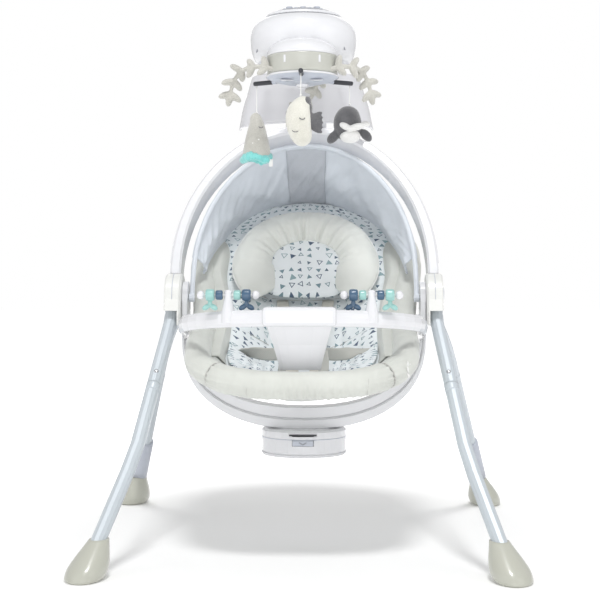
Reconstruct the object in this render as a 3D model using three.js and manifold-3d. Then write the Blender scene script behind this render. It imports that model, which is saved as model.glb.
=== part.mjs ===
// A free-standing electric baby swing: a padded seat hung in a yoke between two side hubs, on four
// splayed legs, under an arch that carries a canopy, a head unit and a mobile.
// Millimetres, +Z up, origin on the floor at the middle of the base, the front of the swing at -Y.
import * as THREE from "three";
import { mergeVertices } from "three/addons/utils/BufferGeometryUtils.js";
import { RoundedBoxGeometry } from "three/addons/geometries/RoundedBoxGeometry.js";
import Module from "manifold-3d";

// ---- Driving dimensions ----
const GAP = 0.4; // space left between two separate pieces

const AXIS_Z = 472; // height of the swing axis
const HUB_INNER_X = 236;
const HUB_OUTER_X = 268;
const HUB_Z = 462;
const HUB_RADIUS = 50;
const HUB_FOOT_Z = 412;
const HUB_SHOULDER_Z = 436;
const HUB_HALF_FOOT = 62;
const HUB_BAY_Z = 454;
const SHAFT_RADIUS = 8;
const BUTTON_RADIUS = 17;

const LEG_X = 255; // leg tubes at their pivots
const LEG_PIVOT_Y = 30;
const LEG_PIVOT_Z = 432;
const LEG_RAKE = 0.887; // how far a leg runs out in Y for each millimetre down
const LEG_RADIUS = 12.8;
const LEG_WALL = 1.8;
const LEG_SIDES = 12;
const LEG_TOP_Z = 444;
const LEG_JOINT_Z = 300;
const LEG_END_Z = 24;
const PIN_RADIUS = 5;
const FRONT_SPLAY = 0.165;
const FRONT_BEND_Z = 190;
const FRONT_BEND = 0.17;
const REAR_SPLAY = 0.305;
const REAR_KNEE = 0.19; // extra splay over the first part of a rear leg
const REAR_KNEE_DROP = 60;

const ARCH_Z = 460; // the arch's plane leans back about this height
const LEAN = THREE.MathUtils.degToRad(26);
const ARCH_STRAIGHT = 60;
const ARCH_HALF_WIDTH = 262;
const ARCH_RISE = 327;
const ARCH_SIDE_THICK = 21;
const ARCH_TOP_THICK = 18;
const ARCH_DEPTH = 52;
const ARCH_WALL = 3;
const ARCH_SPLIT = 252;

const BOW_HALF_WIDTH = 219;
const BOW_RISE = 293;
const BOW_RADIUS = 5;
const BOW_PIVOT_Z = 464;

const YOKE_HALF_WIDTH = 235.4;
const YOKE_BOTTOM = 211;
const YOKE_CORNER_Z = 386;
const YOKE_INNER_HALF = 225;
const YOKE_INNER_BOTTOM = 253;
const YOKE_INNER_CORNER_Z = 400;
const YOKE_DEPTH = 60;
const YOKE_SQUARENESS = 2.3;
const YOKE_WALL = 3;
const YOKE_SPLIT = 0.44; // how far in from the outside the shell meets the cover
const SEAT_MOUNT_Z = 420;

const DRUM_RADIUS = 82;
const DRUM_BOTTOM = 162;
const DRUM_SEAM = 196;
const DRUM_WALL = 3;
const BATTERY_Y = 0; // the heavy pack sets where the loaded yoke hangs

const HEAD_Y = -40;
const MOBILE_Y = -115;
const RING_RADIUS = 65;
const RING_TOP = 913.6;
const RING_BOTTOM = 879;
const ROD_REACH = 107;
const ROD_Z = 872;
const NECK_WIDTH = 84;
const NECK_THICK = 28;

const TRAY_HEIGHT = 30;
const TRAY_DEPTH = 16;
const TRAY_PIVOT_Y = -42;
const TRAY_PIVOT_Z = 406;
const TOWER_X = 125;
const TOWER_Y = -274;
const SPINNER_Z = 472;

// ---- Finishes ----
const WHITE = { color: 0xf1f1f4, roughness: 0.28 };
const CREAM = { color: 0xe4e3d9, roughness: 0.35 };
const GREY = { color: 0x9b9ea6, roughness: 0.45 };
const DARK = { color: 0x2b2c30, roughness: 0.5 };
const TUBE = { color: 0xcfe0e6, roughness: 0.4, metalness: 0.3 };
const SHOE = { color: 0xb9b6a4, roughness: 0.35 };
const STEEL = { color: 0xb0b3b8, roughness: 0.35, metalness: 0.9 };
const SATIN = { color: 0xdcdad2, roughness: 0.8 };
const PRINT = { color: 0xdfe9ea, roughness: 0.85 };
const CANOPY = { color: 0xaab4c2, roughness: 0.9 };
const STRAP = { color: 0xcfccbf, roughness: 0.85 };
const PLUSH = { color: 0xd9d6c8, roughness: 0.95 };
const BEAD = { color: 0xa9cdc6, roughness: 0.4 };

// ---- Tools ----
const wasm = await Module();
wasm.setup();

const vec = (x, y, z) => new THREE.Vector3(x, y, z);

function toSolid(geometry) {
  const bare = geometry.index ? geometry.toNonIndexed() : geometry.clone();
  bare.deleteAttribute("normal");
  bare.deleteAttribute("uv");
  const merged = mergeVertices(bare, 1e-3);
  const mesh = new wasm.Mesh({
    numProp: 3,
    vertProperties: merged.attributes.position.array,
    triVerts: new Uint32Array(merged.index.array),
  });
  return new wasm.Manifold(mesh);
}

function toGeometry(solid) {
  const { vertProperties, triVerts } = solid.getMesh();
  const geometry = new THREE.BufferGeometry();
  geometry.setAttribute("position", new THREE.BufferAttribute(vertProperties, 3));
  geometry.setIndex(new THREE.BufferAttribute(triVerts, 1));
  geometry.computeVertexNormals();
  return geometry;
}

const join = (...pieces) => toGeometry(pieces.map(toSolid).reduce((a, b) => a.add(b)));
const cut = (body, ...tools) => toGeometry(tools.map(toSolid).reduce((a, b) => a.subtract(b), toSolid(body)));
const keep = (body, region) => toGeometry(toSolid(body).intersect(toSolid(region)));

// Turns a closed geometry's faces outwards.
function outward(geometry) {
  const flat = geometry.index ? geometry.toNonIndexed() : geometry;
  const p = flat.attributes.position;
  let volume = 0;
  for (let i = 0; i < p.count; i += 3) {
    const [a, b, c] = [0, 1, 2].map((k) => vec(0, 0, 0).fromBufferAttribute(p, i + k));
    volume += a.dot(b.cross(c));
  }
  if (volume > 0) return flat;
  for (let i = 0; i < p.count; i += 3) {
    const b = vec(0, 0, 0).fromBufferAttribute(p, i + 1);
    const c = vec(0, 0, 0).fromBufferAttribute(p, i + 2);
    p.setXYZ(i + 1, c.x, c.y, c.z);
    p.setXYZ(i + 2, b.x, b.y, b.z);
  }
  flat.computeVertexNormals();
  return flat;
}

// Moves every vertex of a geometry by a function of its position.
function warp(geometry, move) {
  const p = geometry.attributes.position;
  const v = vec(0, 0, 0);
  for (let i = 0; i < p.count; i += 1) {
    const to = move(v.fromBufferAttribute(p, i));
    p.setXYZ(i, to.x, to.y, to.z);
  }
  return outward(geometry);
}

const mirrorX = (geometry) => outward(geometry.clone().scale(-1, 1, 1));
const mirrorY = (geometry) => outward(geometry.clone().scale(1, -1, 1));

function box(x0, x1, y0, y1, z0, z1) {
  const geometry = new THREE.BoxGeometry(x1 - x0, y1 - y0, z1 - z0);
  return geometry.translate((x0 + x1) / 2, (y0 + y1) / 2, (z0 + z1) / 2);
}

function softBox(x0, x1, y0, y1, z0, z1, radius) {
  const geometry = new RoundedBoxGeometry(x1 - x0, y1 - y0, z1 - z0, 1, radius);
  return geometry.translate((x0 + x1) / 2, (y0 + y1) / 2, (z0 + z1) / 2);
}

// A flat outline with a depth, its edges rounded by a bevel.
function slab(shape, depth, bevel, curveSegments = 10) {
  const geometry = new THREE.ExtrudeGeometry(shape, {
    depth: depth - 2 * bevel,
    bevelEnabled: bevel > 0,
    bevelThickness: bevel,
    bevelSize: bevel,
    bevelOffset: -bevel,
    bevelSegments: 1,
    curveSegments,
  });
  return geometry.translate(0, 0, bevel);
}

// The outline's own x and y become Y and Z, and its depth runs along X from x0.
function slabAlongX(shape, x0, depth, bevel, curveSegments) {
  const turn = new THREE.Matrix4().makeBasis(vec(0, 1, 0), vec(0, 0, 1), vec(1, 0, 0));
  return slab(shape, depth, bevel, curveSegments).applyMatrix4(turn).translate(x0, 0, 0);
}

// The outline's own x and y become X and Z, and its depth is centred on y.
function slabAlongY(shape, y, depth, bevel, curveSegments) {
  const turn = new THREE.Matrix4().makeBasis(vec(1, 0, 0), vec(0, 0, 1), vec(0, -1, 0));
  return slab(shape, depth, bevel, curveSegments).applyMatrix4(turn).translate(0, y + depth / 2, 0);
}

function revolve(profile, segments) {
  const points = profile.map(([r, z]) => new THREE.Vector2(r, z));
  return outward(new THREE.LatheGeometry(points, segments).rotateX(Math.PI / 2));
}

function rodAlongX(radius, x0, x1, y, z, sides = 16) {
  const geometry = new THREE.CylinderGeometry(radius, radius, x1 - x0, sides).rotateZ(Math.PI / 2);
  return geometry.translate((x0 + x1) / 2, y, z);
}

function roundShape(radius, sides, hole = 0, holeSides = sides) {
  const ring = (r, count) =>
    Array.from({ length: count }, (_, i) => {
      const angle = (2 * Math.PI * (i + 0.5)) / count;
      return new THREE.Vector2(r * Math.cos(angle), r * Math.sin(angle));
    });
  const shape = new THREE.Shape(ring(radius, sides));
  if (hole > 0) shape.holes.push(new THREE.Path(ring(hole, holeSides).reverse()));
  return shape;
}

function sweep(shape, points, steps) {
  const path = new THREE.CatmullRomCurve3(points, false, "centripetal");
  return outward(new THREE.ExtrudeGeometry(shape, { steps, extrudePath: path, bevelEnabled: false }));
}

// A stack of ellipses, given as [z, half width, half depth, centre x, centre y], closed by end caps.
function stack(levels, sides) {
  const last = levels.length - 1;
  const column = new THREE.CylinderGeometry(1, 1, 1, sides, last).rotateX(Math.PI / 2);
  return warp(column, (v) => {
    const [z, rx, ry, cx = 0, cy = 0] = levels[Math.round((v.z + 0.5) * last)];
    return vec(cx + v.x * rx, cy + v.y * ry, z);
  });
}

function add(parent, name, geometry, finish) {
  const mesh = new THREE.Mesh(geometry, new THREE.MeshStandardMaterial(finish));
  mesh.name = name;
  parent.add(mesh);
  return mesh;
}

const swing = new THREE.Group();

// Adds one right-hand piece and its mirror image on the left.
function addPair(parent, name, geometry, finish) {
  add(parent, `${name}_right`, geometry, finish);
  add(parent, `${name}_left`, mirrorX(geometry), finish);
}

// ---- Hubs: a dome around the swing axis over an open bay that the legs fold in ----
function hubOutline(grow = 0) {
  const shape = new THREE.Shape();
  shape.moveTo(-HUB_HALF_FOOT - grow, HUB_FOOT_Z - grow);
  shape.lineTo(HUB_HALF_FOOT + grow, HUB_FOOT_Z - grow);
  shape.lineTo(HUB_HALF_FOOT + grow, HUB_SHOULDER_Z);
  shape.absarc(0, HUB_Z, HUB_RADIUS + grow, 0, Math.PI, false);
  shape.lineTo(-HUB_HALF_FOOT - grow, HUB_SHOULDER_Z);
  return shape;
}

function hubHousing(hasDrive) {
  const bayInner = HUB_INNER_X + 5.5;
  const past = HUB_OUTER_X + 4;
  const body = slabAlongX(hubOutline(), HUB_INNER_X, HUB_OUTER_X - HUB_INNER_X, 3.5);
  const bay = box(bayInner, past, -52.6, 52.6, HUB_FOOT_Z - 5, HUB_BAY_Z);
  const mouth = box(bayInner, past, -70, 70, HUB_FOOT_Z - 5, 440);
  const bore = rodAlongX(SHAFT_RADIUS + GAP, HUB_INNER_X - 5, HUB_OUTER_X - 9, 0, AXIS_Z, 16);
  const recess = rodAlongX(BUTTON_RADIUS + GAP, HUB_OUTER_X - 10.5, past, 0, AXIS_Z, 24);
  const tools = [bay, mouth, bore, recess];
  if (hasDrive) tools.push(box(bayInner, 256.5, 19.5, 41.5, 450, 482), inletHole());
  const pins = [-1, 1].map((side) =>
    rodAlongX(PIN_RADIUS, bayInner - 2, HUB_OUTER_X - 1, side * LEG_PIVOT_Y, LEG_PIVOT_Z, 10),
  );
  return join(cut(body, ...tools), ...pins);
}

// A blind round socket for the low-voltage plug, in the back of the dome.
function inletHole() {
  return new THREE.CylinderGeometry(3.2, 3.2, 20, 10).translate(249, 46, 490);
}

function releaseButton() {
  const inner = HUB_OUTER_X - 6;
  const outer = HUB_OUTER_X + 3;
  const profile = [
    [0, inner],
    [BUTTON_RADIUS, inner],
    [BUTTON_RADIUS, outer - 3],
    [BUTTON_RADIUS - 3, outer - 0.6],
    [0, outer],
  ];
  return revolve(profile, 24).rotateY(Math.PI / 2).translate(0, 0, AXIS_Z);
}

function pivotShaft() {
  return rodAlongX(SHAFT_RADIUS, YOKE_INNER_HALF + 2.5, HUB_OUTER_X - 12, 0, AXIS_Z, 16);
}

add(swing, "hub_housing_right", hubHousing(true), CREAM);
add(swing, "hub_housing_left", mirrorX(hubHousing(false)), CREAM);
addPair(swing, "leg_release_button", releaseButton(), WHITE);
add(swing, "swing_drive_motor", rodAlongX(10, 242.2, 256, 30.5, 471, 20), STEEL);

// ---- Legs: steel tubes in two lengths with moulded shoes ----
const legY = (z) => LEG_PIVOT_Y + (LEG_PIVOT_Z - z) * LEG_RAKE;
const frontX = (z) =>
  LEG_X + Math.max(0, 420 - z) * FRONT_SPLAY + Math.max(0, FRONT_BEND_Z - z) * FRONT_BEND;
function rearX(z) {
  const drop = Math.max(0, 425 - z);
  return LEG_X + drop * REAR_SPLAY + Math.min(drop, REAR_KNEE_DROP) * REAR_KNEE;
}

const legPoints = (legX, heights) => heights.map((z) => vec(legX(z), legY(z), z));

function upperLeg(legX) {
  const shape = roundShape(LEG_RADIUS, LEG_SIDES, LEG_RADIUS - LEG_WALL);
  const tube = sweep(shape, legPoints(legX, [LEG_TOP_Z, LEG_PIVOT_Z, 410, 380, 340, LEG_JOINT_Z]), 5);
  return cut(tube, rodAlongX(PIN_RADIUS + GAP, LEG_X - 20, LEG_X + 20, LEG_PIVOT_Y, LEG_PIVOT_Z, 10));
}

function lowerLeg(legX) {
  const heights = [LEG_JOINT_Z - 1, 250, 215, FRONT_BEND_Z, 165, 130, 80, LEG_END_Z];
  const tube = sweep(roundShape(LEG_RADIUS, LEG_SIDES, LEG_RADIUS - LEG_WALL, 6), legPoints(legX, heights), 6);
  const neckRadius = LEG_RADIUS - LEG_WALL - GAP;
  const neck = sweep(roundShape(neckRadius, LEG_SIDES), legPoints(legX, [LEG_JOINT_Z + 30, LEG_JOINT_Z - 12]), 1);
  const plug = sweep(roundShape(LEG_RADIUS - 0.6, 6), legPoints(legX, [LEG_JOINT_Z - 2, LEG_JOINT_Z - 12]), 1);
  return join(tube, plug, neck);
}

function shoe(legX) {
  const lean = (legX(LEG_END_Z) - legX(80)) / (80 - LEG_END_Z);
  const at = (z, rx, ry) => [z, rx, ry, legX(LEG_END_Z) + (LEG_END_Z - z) * lean, legY(z) - (64 - z) * 0.4];
  const levels = [at(0, 28, 42), at(5, 33, 48), at(18, 34, 48), at(34, 29, 40), at(50, 22, 30), at(64, 17, 21.5)];
  const bore = sweep(roundShape(LEG_RADIUS + GAP, LEG_SIDES), legPoints(legX, [LEG_END_Z - 0.6, 60, 110]), 2);
  return cut(stack(levels, 14), bore);
}

const LEGS = [
  ["front", frontX, mirrorY],
  ["rear", rearX, (geometry) => geometry],
];
for (const [end, legX, toEnd] of LEGS) {
  addPair(swing, `${end}_leg_upper_tube`, toEnd(upperLeg(legX)), TUBE);
  addPair(swing, `${end}_leg_lower_tube`, toEnd(lowerLeg(legX)), TUBE);
  addPair(swing, `${end}_leg_shoe`, toEnd(shoe(legX)), SHOE);
}

// ---- Arch: two posts and a crown, hollow, leaning back from the hubs ----
const arch = new THREE.Group();
arch.position.z = ARCH_Z;
arch.rotation.x = -LEAN;
swing.add(arch);

// The band between two half ellipses on straight feet, inset by a wall.
function archBand(inset, footZ) {
  const [a, b] = [ARCH_HALF_WIDTH - inset, ARCH_RISE - inset];
  const [c, d] = [ARCH_HALF_WIDTH - ARCH_SIDE_THICK + inset, ARCH_RISE - ARCH_TOP_THICK + inset];
  const shape = new THREE.Shape();
  shape.moveTo(a, footZ);
  shape.lineTo(a, ARCH_STRAIGHT);
  shape.absellipse(0, ARCH_STRAIGHT, a, b, 0, Math.PI, false);
  shape.lineTo(-a, footZ);
  shape.lineTo(-c, footZ);
  shape.lineTo(-c, ARCH_STRAIGHT);
  shape.absellipse(0, ARCH_STRAIGHT, c, d, Math.PI, 0, true);
  shape.lineTo(c, footZ);
  return shape;
}

function archPieces() {
  const outer = slabAlongY(archBand(0, 30), 0, ARCH_DEPTH, 4, 16);
  const inner = slabAlongY(archBand(ARCH_WALL, 20), 0, ARCH_DEPTH - 2 * ARCH_WALL, 0, 16);
  const hollow = cut(outer, inner);
  const hub = slabAlongX(hubOutline(GAP), 200, 100, 0, 10).translate(0, 0, -ARCH_Z).rotateX(LEAN);
  const post = cut(keep(hollow, box(0, 300, -40, 40, 0, ARCH_SPLIT)), hub);
  const crown = keep(hollow, box(-300, 300, -40, 40, ARCH_SPLIT + GAP, 400));
  return [post, crown];
}

const [archPost, archCrown] = archPieces();
addPair(arch, "arch_post", archPost, WHITE);
add(arch, "arch_crown", archCrown, WHITE);

// ---- Neck and bell: the arm from the arch's crown to the head, behind a flared cover ----
function neck() {
  const corner = 9;
  const [w, h] = [NECK_WIDTH / 2, NECK_THICK / 2];
  const shape = new THREE.Shape();
  shape.moveTo(w, -h + corner);
  shape.lineTo(w, h - corner);
  shape.absarc(w - corner, h - corner, corner, 0, Math.PI / 2, false);
  shape.lineTo(-w + corner, h);
  shape.absarc(-w + corner, h - corner, corner, Math.PI / 2, Math.PI, false);
  shape.lineTo(-w, -h + corner);
  shape.absarc(-w + corner, -h + corner, corner, Math.PI, 1.5 * Math.PI, false);
  shape.lineTo(w - corner, -h);
  shape.absarc(w - corner, -h + corner, corner, 1.5 * Math.PI, 2 * Math.PI, false);
  const bend = [vec(0, 171, 790), vec(0, 176, 850), vec(0, 168, 905), vec(0, 132, 944), vec(0, 72, 953)];
  const path = new THREE.CatmullRomCurve3([...bend, vec(0, 40, 953)]);
  const options = { steps: 9, extrudePath: path, bevelEnabled: false, curveSegments: 2 };
  const arm = outward(new THREE.ExtrudeGeometry(shape, options));
  const crownTop = ARCH_STRAIGHT + ARCH_RISE + GAP;
  const under = box(-60, 60, -60, 60, 300, crownTop).rotateX(-LEAN).translate(0, 0, ARCH_Z);
  return cut(arm, under, revolve([[0, 905], [101.4, 905], [101.4, 1000], [0, 1000]], 40).translate(0, HEAD_Y, 0));
}

// The bell is the front half of a leaning flared tube, open at the bottom and the back.
function bell() {
  const levels = [
    [812, 139, 175],
    [850, 132, 173],
    [880, 122, 162],
    [903, 114, 144],
    [911, 111, 137],
  ];
  const outside = levels.map(([z, r, y]) => [z, r, r, 0, y]);
  const inside = levels.map(([z, r, y]) => [z, r - 3, r - 3, 0, y]);
  inside[0][0] -= 4;
  inside[inside.length - 1][0] -= 3.5;
  const shell = cut(stack(outside, 36), stack(inside, 36), box(-200, 200, 178, 400, 700, 1000));
  return cut(shell, softBox(-NECK_WIDTH / 2 - 0.6, NECK_WIDTH / 2 + 0.6, 120, 300, 760, 960, 4));
}

add(swing, "neck_arm", neck(), WHITE);
add(swing, "neck_bell", bell(), WHITE);

// ---- Head unit: a saucer with a control panel, buttons and the mobile's motor ----
const head = new THREE.Group();
head.position.y = HEAD_Y;
swing.add(head);

function headLower() {
  const saucer = [
    [0, 914],
    [86, 914],
    [92, 918],
    [98, 932],
    [101, 950],
    [101, 960],
    [97.5, 960],
    [97, 950],
    [86, 918],
    [0, 918],
  ];
  const turret = [
    [0, 914],
    [66, 914],
    [63, 924],
    [54, 936],
    [38, 944],
    [0, 948],
  ];
  const bulge = revolve(turret, 28).translate(0, MOBILE_Y - HEAD_Y, 0);
  const shell = revolve(saucer, 40);
  const opening = rodAlongZ(20, 900, 930).translate(0, MOBILE_Y - HEAD_Y, 0);
  const outerSkin = revolve([[0, 914], [86, 914], [92, 918], [98, 932], [101, 950], [101, 960], [0, 960]], 40);
  return cut(join(shell, cut(bulge, outerSkin)), opening);
}

function rodAlongZ(radius, z0, z1, sides = 16) {
  return new THREE.CylinderGeometry(radius, radius, z1 - z0, sides).rotateX(Math.PI / 2).translate(0, 0, (z0 + z1) / 2);
}

function headUpper() {
  const profile = [
    [97.5, 960.5],
    [101, 960.5],
    [100, 972],
    [94, 984],
    [84, 993],
    [74, 998],
    [64, 998],
    [64, 995],
    [74, 994.5],
    [89, 983],
    [97.5, 960.5],
  ];
  return revolve(profile, 40);
}

function controlPanel() {
  const profile = [
    [0, 998.4],
    [73, 998.4],
    [68, 1004],
    [56, 1010],
    [36, 1015],
    [0, 1017],
  ];
  const wells = BUTTONS.map(([, x]) => rodAlongZ(6.5 + GAP, 1004, 1030).translate(x, -26, 0));
  return cut(revolve(profile, 36), ...wells);
}

const BUTTONS = [
  ["power_button", -26],
  ["swing_speed_button", 0],
  ["music_button", 26],
];

add(head, "head_lower_shell", headLower(), WHITE);
add(head, "head_upper_shell", headUpper(), WHITE);
add(head, "control_panel", controlPanel(), GREY);
for (const [name, x] of BUTTONS) add(head, name, rodAlongZ(6.5, 1007, 1017.5).translate(x, -26, 0), DARK);

// ---- Mobile: ring, motor, rotor with three rods, and a toy on a string under each rod ----
const mobile = new THREE.Group();
mobile.position.y = MOBILE_Y;
swing.add(mobile);

function mobileRing() {
  const profile = [
    [RING_RADIUS - 3, RING_BOTTOM],
    [RING_RADIUS, RING_BOTTOM],
    [RING_RADIUS + 0.5, RING_TOP],
    [26, RING_TOP],
    [26, RING_TOP - 3],
    [RING_RADIUS - 3, RING_TOP - 3],
    [RING_RADIUS - 3, RING_BOTTOM],
  ];
  return revolve(profile, 36);
}

function mobileMotor() {
  return join(rodAlongZ(18, 890, 912), rodAlongZ(3, 884, 891, 8), rodAlongZ(16, 911, 928));
}

const ROD_ANGLES = { front: -90, right: 30, left: 150 };

function rotor() {
  const dish = [
    [0, 863],
    [34, 864],
    [56, 869],
    [67, 875],
    [67, 878.4],
    [56, 878.4],
    [48, 871],
    [8, 868],
    [8, 889],
    [4, 889],
    [4, 870],
    [0, 870],
  ];
  const rods = Object.values(ROD_ANGLES).map((angle) =>
    rodAlongX(4, 57, ROD_REACH, 0, ROD_Z, 8).rotateZ(THREE.MathUtils.degToRad(angle)),
  );
  return join(revolve(dish, 32), ...rods);
}

// Where each toy hangs, and how high its string meets it.
const hang = (angle) => {
  const turn = THREE.MathUtils.degToRad(angle);
  return [(ROD_REACH - 5) * Math.cos(turn), (ROD_REACH - 5) * Math.sin(turn)];
};

function string(topZ) {
  return rodAlongZ(1, topZ + GAP, ROD_Z - 4 - GAP, 6);
}

function skirtToy() {
  const levels = [
    [724, 22, 20],
    [731, 30, 24],
    [745, 30, 24],
    [770, 24, 20],
    [796, 17, 15],
    [810, 11, 10],
    [816, 4, 4],
  ];
  return stack(levels, 14);
}

function longFaceToy() {
  const levels = [
    [736, 8, 9, 4],
    [742, 16, 17, 2],
    [758, 20, 22, 0],
    [784, 22, 24, -1],
    [806, 18, 20, 0],
    [820, 10, 12, 1],
    [827, 4, 5, 2],
  ];
  const ear = new THREE.SphereGeometry(1, 8, 6).scale(13, 6, 19).translate(24, 4, 780);
  return join(stack(levels, 14), ear);
}

function domeToy() {
  const levels = [
    [757, 8, 8],
    [764, 20, 17],
    [780, 28, 24],
    [800, 27, 24],
    [818, 19, 18],
    [828, 9, 9],
    [831, 3, 3],
  ];
  const fins = [-1, 1].map((side) =>
    new THREE.SphereGeometry(1, 8, 6)
      .scale(17, 5, 10)
      .rotateY(side * 0.6)
      .translate(side * 30, -4, 775),
  );
  return join(stack(levels, 14), ...fins);
}

const TOYS = [
  ["left", skirtToy(), 816, PLUSH],
  ["front", longFaceToy(), 827, PLUSH],
  ["right", domeToy(), 831, GREY],
];

add(mobile, "mobile_ring", mobileRing(), CREAM);
add(mobile, "mobile_motor", mobileMotor(), STEEL);
add(mobile, "mobile_rotor", rotor(), WHITE);
for (const [side, toy, topZ, finish] of TOYS) {
  const [x, y] = hang(ROD_ANGLES[side]);
  add(mobile, `toy_${side}`, toy.translate(x, y, 0), finish);
  add(mobile, `toy_string_${side}`, string(topZ).translate(x, y, 0), WHITE);
}

// ---- Yoke: a U between the hubs, an outer channel closed by an inner cover ----
// One edge of the U from arm to arm: s = 0 is its outside, s = 1 its inside, inset towards the child.
function yokeEdge(s, inset = 0) {
  const lerp = THREE.MathUtils.lerp;
  const halfWidth = lerp(YOKE_HALF_WIDTH, YOKE_INNER_HALF, s) - inset;
  const bottom = lerp(YOKE_BOTTOM, YOKE_INNER_BOTTOM, s) + inset;
  const cornerZ = lerp(YOKE_CORNER_Z, YOKE_INNER_CORNER_Z, s);
  const power = 2 / YOKE_SQUARENESS;
  return Array.from({ length: 29 }, (_, i) => {
    const angle = (Math.PI / 2) * (i / 14 - 1);
    const x = halfWidth * Math.sign(angle) * Math.abs(Math.sin(angle)) ** power;
    return new THREE.Vector2(x, cornerZ - (cornerZ - bottom) * Math.cos(angle) ** power);
  });
}

// The band between two edges, both carried straight up the arms to a height.
function yokeBand(outer, inner, topZ) {
  const top = (p) => new THREE.Vector2(p.x, topZ);
  const [first, last] = [0, outer.length - 1];
  const down = [top(inner[last]), ...[...inner].reverse(), top(inner[first])];
  return new THREE.Shape([top(outer[first]), ...outer, top(outer[last]), ...down]);
}

function yokeArmRegion() {
  const shape = new THREE.Shape();
  shape.moveTo(-80, 150);
  shape.lineTo(80, 150);
  shape.lineTo(80, 330);
  shape.lineTo(24, AXIS_Z);
  shape.absarc(0, AXIS_Z, 24, 0, Math.PI, false);
  shape.lineTo(-80, 330);
  return slabAlongX(shape, -300, 600, 0, 8);
}

// What an arm carries: the seat's mounting boss, the canopy's pin and the tray's hinge lug.
function armFittings() {
  const boss = rodAlongX(12, 217.8, 228, 0, SEAT_MOUNT_Z, 12);
  const canopyPin = rodAlongX(3, 213, 227, 0, BOW_PIVOT_Z, 8);
  const lug = rodAlongX(12, YOKE_INNER_HALF + 0.2, YOKE_HALF_WIDTH - 0.4, TRAY_PIVOT_Y, TRAY_PIVOT_Z, 16);
  const web = box(YOKE_INNER_HALF + 0.2, YOKE_HALF_WIDTH - 0.4, TRAY_PIVOT_Y, -26, 396, 416);
  const trayPin = rodAlongX(4, 219.6, 227, TRAY_PIVOT_Y, TRAY_PIVOT_Z, 8);
  return join(boss, canopyPin, lug, web, trayPin);
}

function yokeShell() {
  const band = slabAlongY(yokeBand(yokeEdge(0), yokeEdge(YOKE_SPLIT), 500), 0, YOKE_DEPTH, 1.5);
  const arms = slabAlongY(yokeBand(yokeEdge(0), yokeEdge(1), 500), 0, YOKE_DEPTH, 1.5);
  const armsOnly = keep(arms, join(box(-300, -200, -60, 60, 392, 520), box(200, 300, -60, 60, 392, 520)));
  const hollow = slabAlongY(yokeBand(yokeEdge(0, YOKE_WALL), yokeEdge(0.8), 410), 0, YOKE_DEPTH - 2 * YOKE_WALL, 0);
  const cavity = keep(hollow, box(-206, 206, -60, 60, 150, 400));
  const hole = rodAlongX(SHAFT_RADIUS + GAP, YOKE_INNER_HALF + 2, 250, 0, AXIS_Z, 16);
  const shaped = cut(keep(join(band, armsOnly), yokeArmRegion()), cavity, hole, mirrorX(hole));
  return join(shaped, armFittings(), mirrorX(armFittings()), drumCollar());
}

function drumCollar() {
  const profile = [
    [0, 205],
    [DRUM_RADIUS - DRUM_WALL, 205],
    [DRUM_RADIUS - DRUM_WALL, DRUM_SEAM + GAP],
    [DRUM_RADIUS, DRUM_SEAM + GAP],
    [DRUM_RADIUS, 209],
    [DRUM_RADIUS - 4, 213],
    [0, 213],
  ];
  const slot = box(-27, 27, -90, -DRUM_RADIUS + 6, 202, 208);
  return cut(revolve(profile, 36), slot);
}

function yokeCover() {
  const depth = YOKE_DEPTH - 8;
  const band = slabAlongY(yokeBand(yokeEdge(YOKE_SPLIT + 0.04), yokeEdge(1), 410), 0, depth, 1.5);
  const hollow = slabAlongY(yokeBand(yokeEdge(0.3), yokeEdge(1, -YOKE_WALL), 410), 0, depth - 2 * YOKE_WALL, 0);
  const below = keep(band, box(-300, 300, -60, 60, 150, 384));
  return cut(below, keep(hollow, box(-206, 206, -60, 60, 150, 400)));
}

function drumCup() {
  const profile = [
    [0, DRUM_BOTTOM],
    [DRUM_RADIUS - 8, DRUM_BOTTOM],
    [DRUM_RADIUS - 2, DRUM_BOTTOM + 2],
    [DRUM_RADIUS, DRUM_BOTTOM + 8],
    [DRUM_RADIUS, DRUM_SEAM],
    [DRUM_RADIUS - DRUM_WALL, DRUM_SEAM],
    [DRUM_RADIUS - DRUM_WALL, DRUM_BOTTOM + DRUM_WALL],
    [0, DRUM_BOTTOM + DRUM_WALL],
  ];
  return cut(revolve(profile, 36), box(-20.6, 20.6, -100, -60, 184, 200));
}

add(swing, "yoke_shell", yokeShell(), WHITE);
add(swing, "yoke_cover", yokeCover(), WHITE);
add(swing, "drum_cup", drumCup(), WHITE);
add(swing, "drum_latch", softBox(-20, 20, -84.5, -74, 184.6, 195.6, 2), GREY);
add(swing, "battery_pack", softBox(-45, 45, BATTERY_Y - 35, BATTERY_Y + 35, 166, 195, 3), DARK);
addPair(swing, "pivot_shaft", pivotShaft(), STEEL);

// ---- Seat ----
// The right-hand half of the rim, from the front centre to the head end.
const RIM = [
  [-282, 0, 315],
  [-279, 80, 317],
  [-262, 140, 327],
  [-218, 180, 346],
  [-155, 190, 366],
  [-80, 192.5, 388],
  [0, 192.5, 420],
  [80, 201, 468],
  [160, 213, 530],
  [222, 198, 592],
  [262, 160, 628],
  [285, 84, 646],
  [290, 0, 650],
];
const RIM_RADIUS = 24;
const FRAME_RADIUS = 8;
const RIM_SEAM_Y = -252;

function rimRing(radius, sides, steps) {
  const points = RIM.map(([y, x, z]) => vec(x, y, z));
  points[0].x = -0.5;
  points[points.length - 1].x = -0.5;
  const half = sweep(roundShape(radius, sides), points, steps);
  return join(half, mirrorX(half));
}

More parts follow.
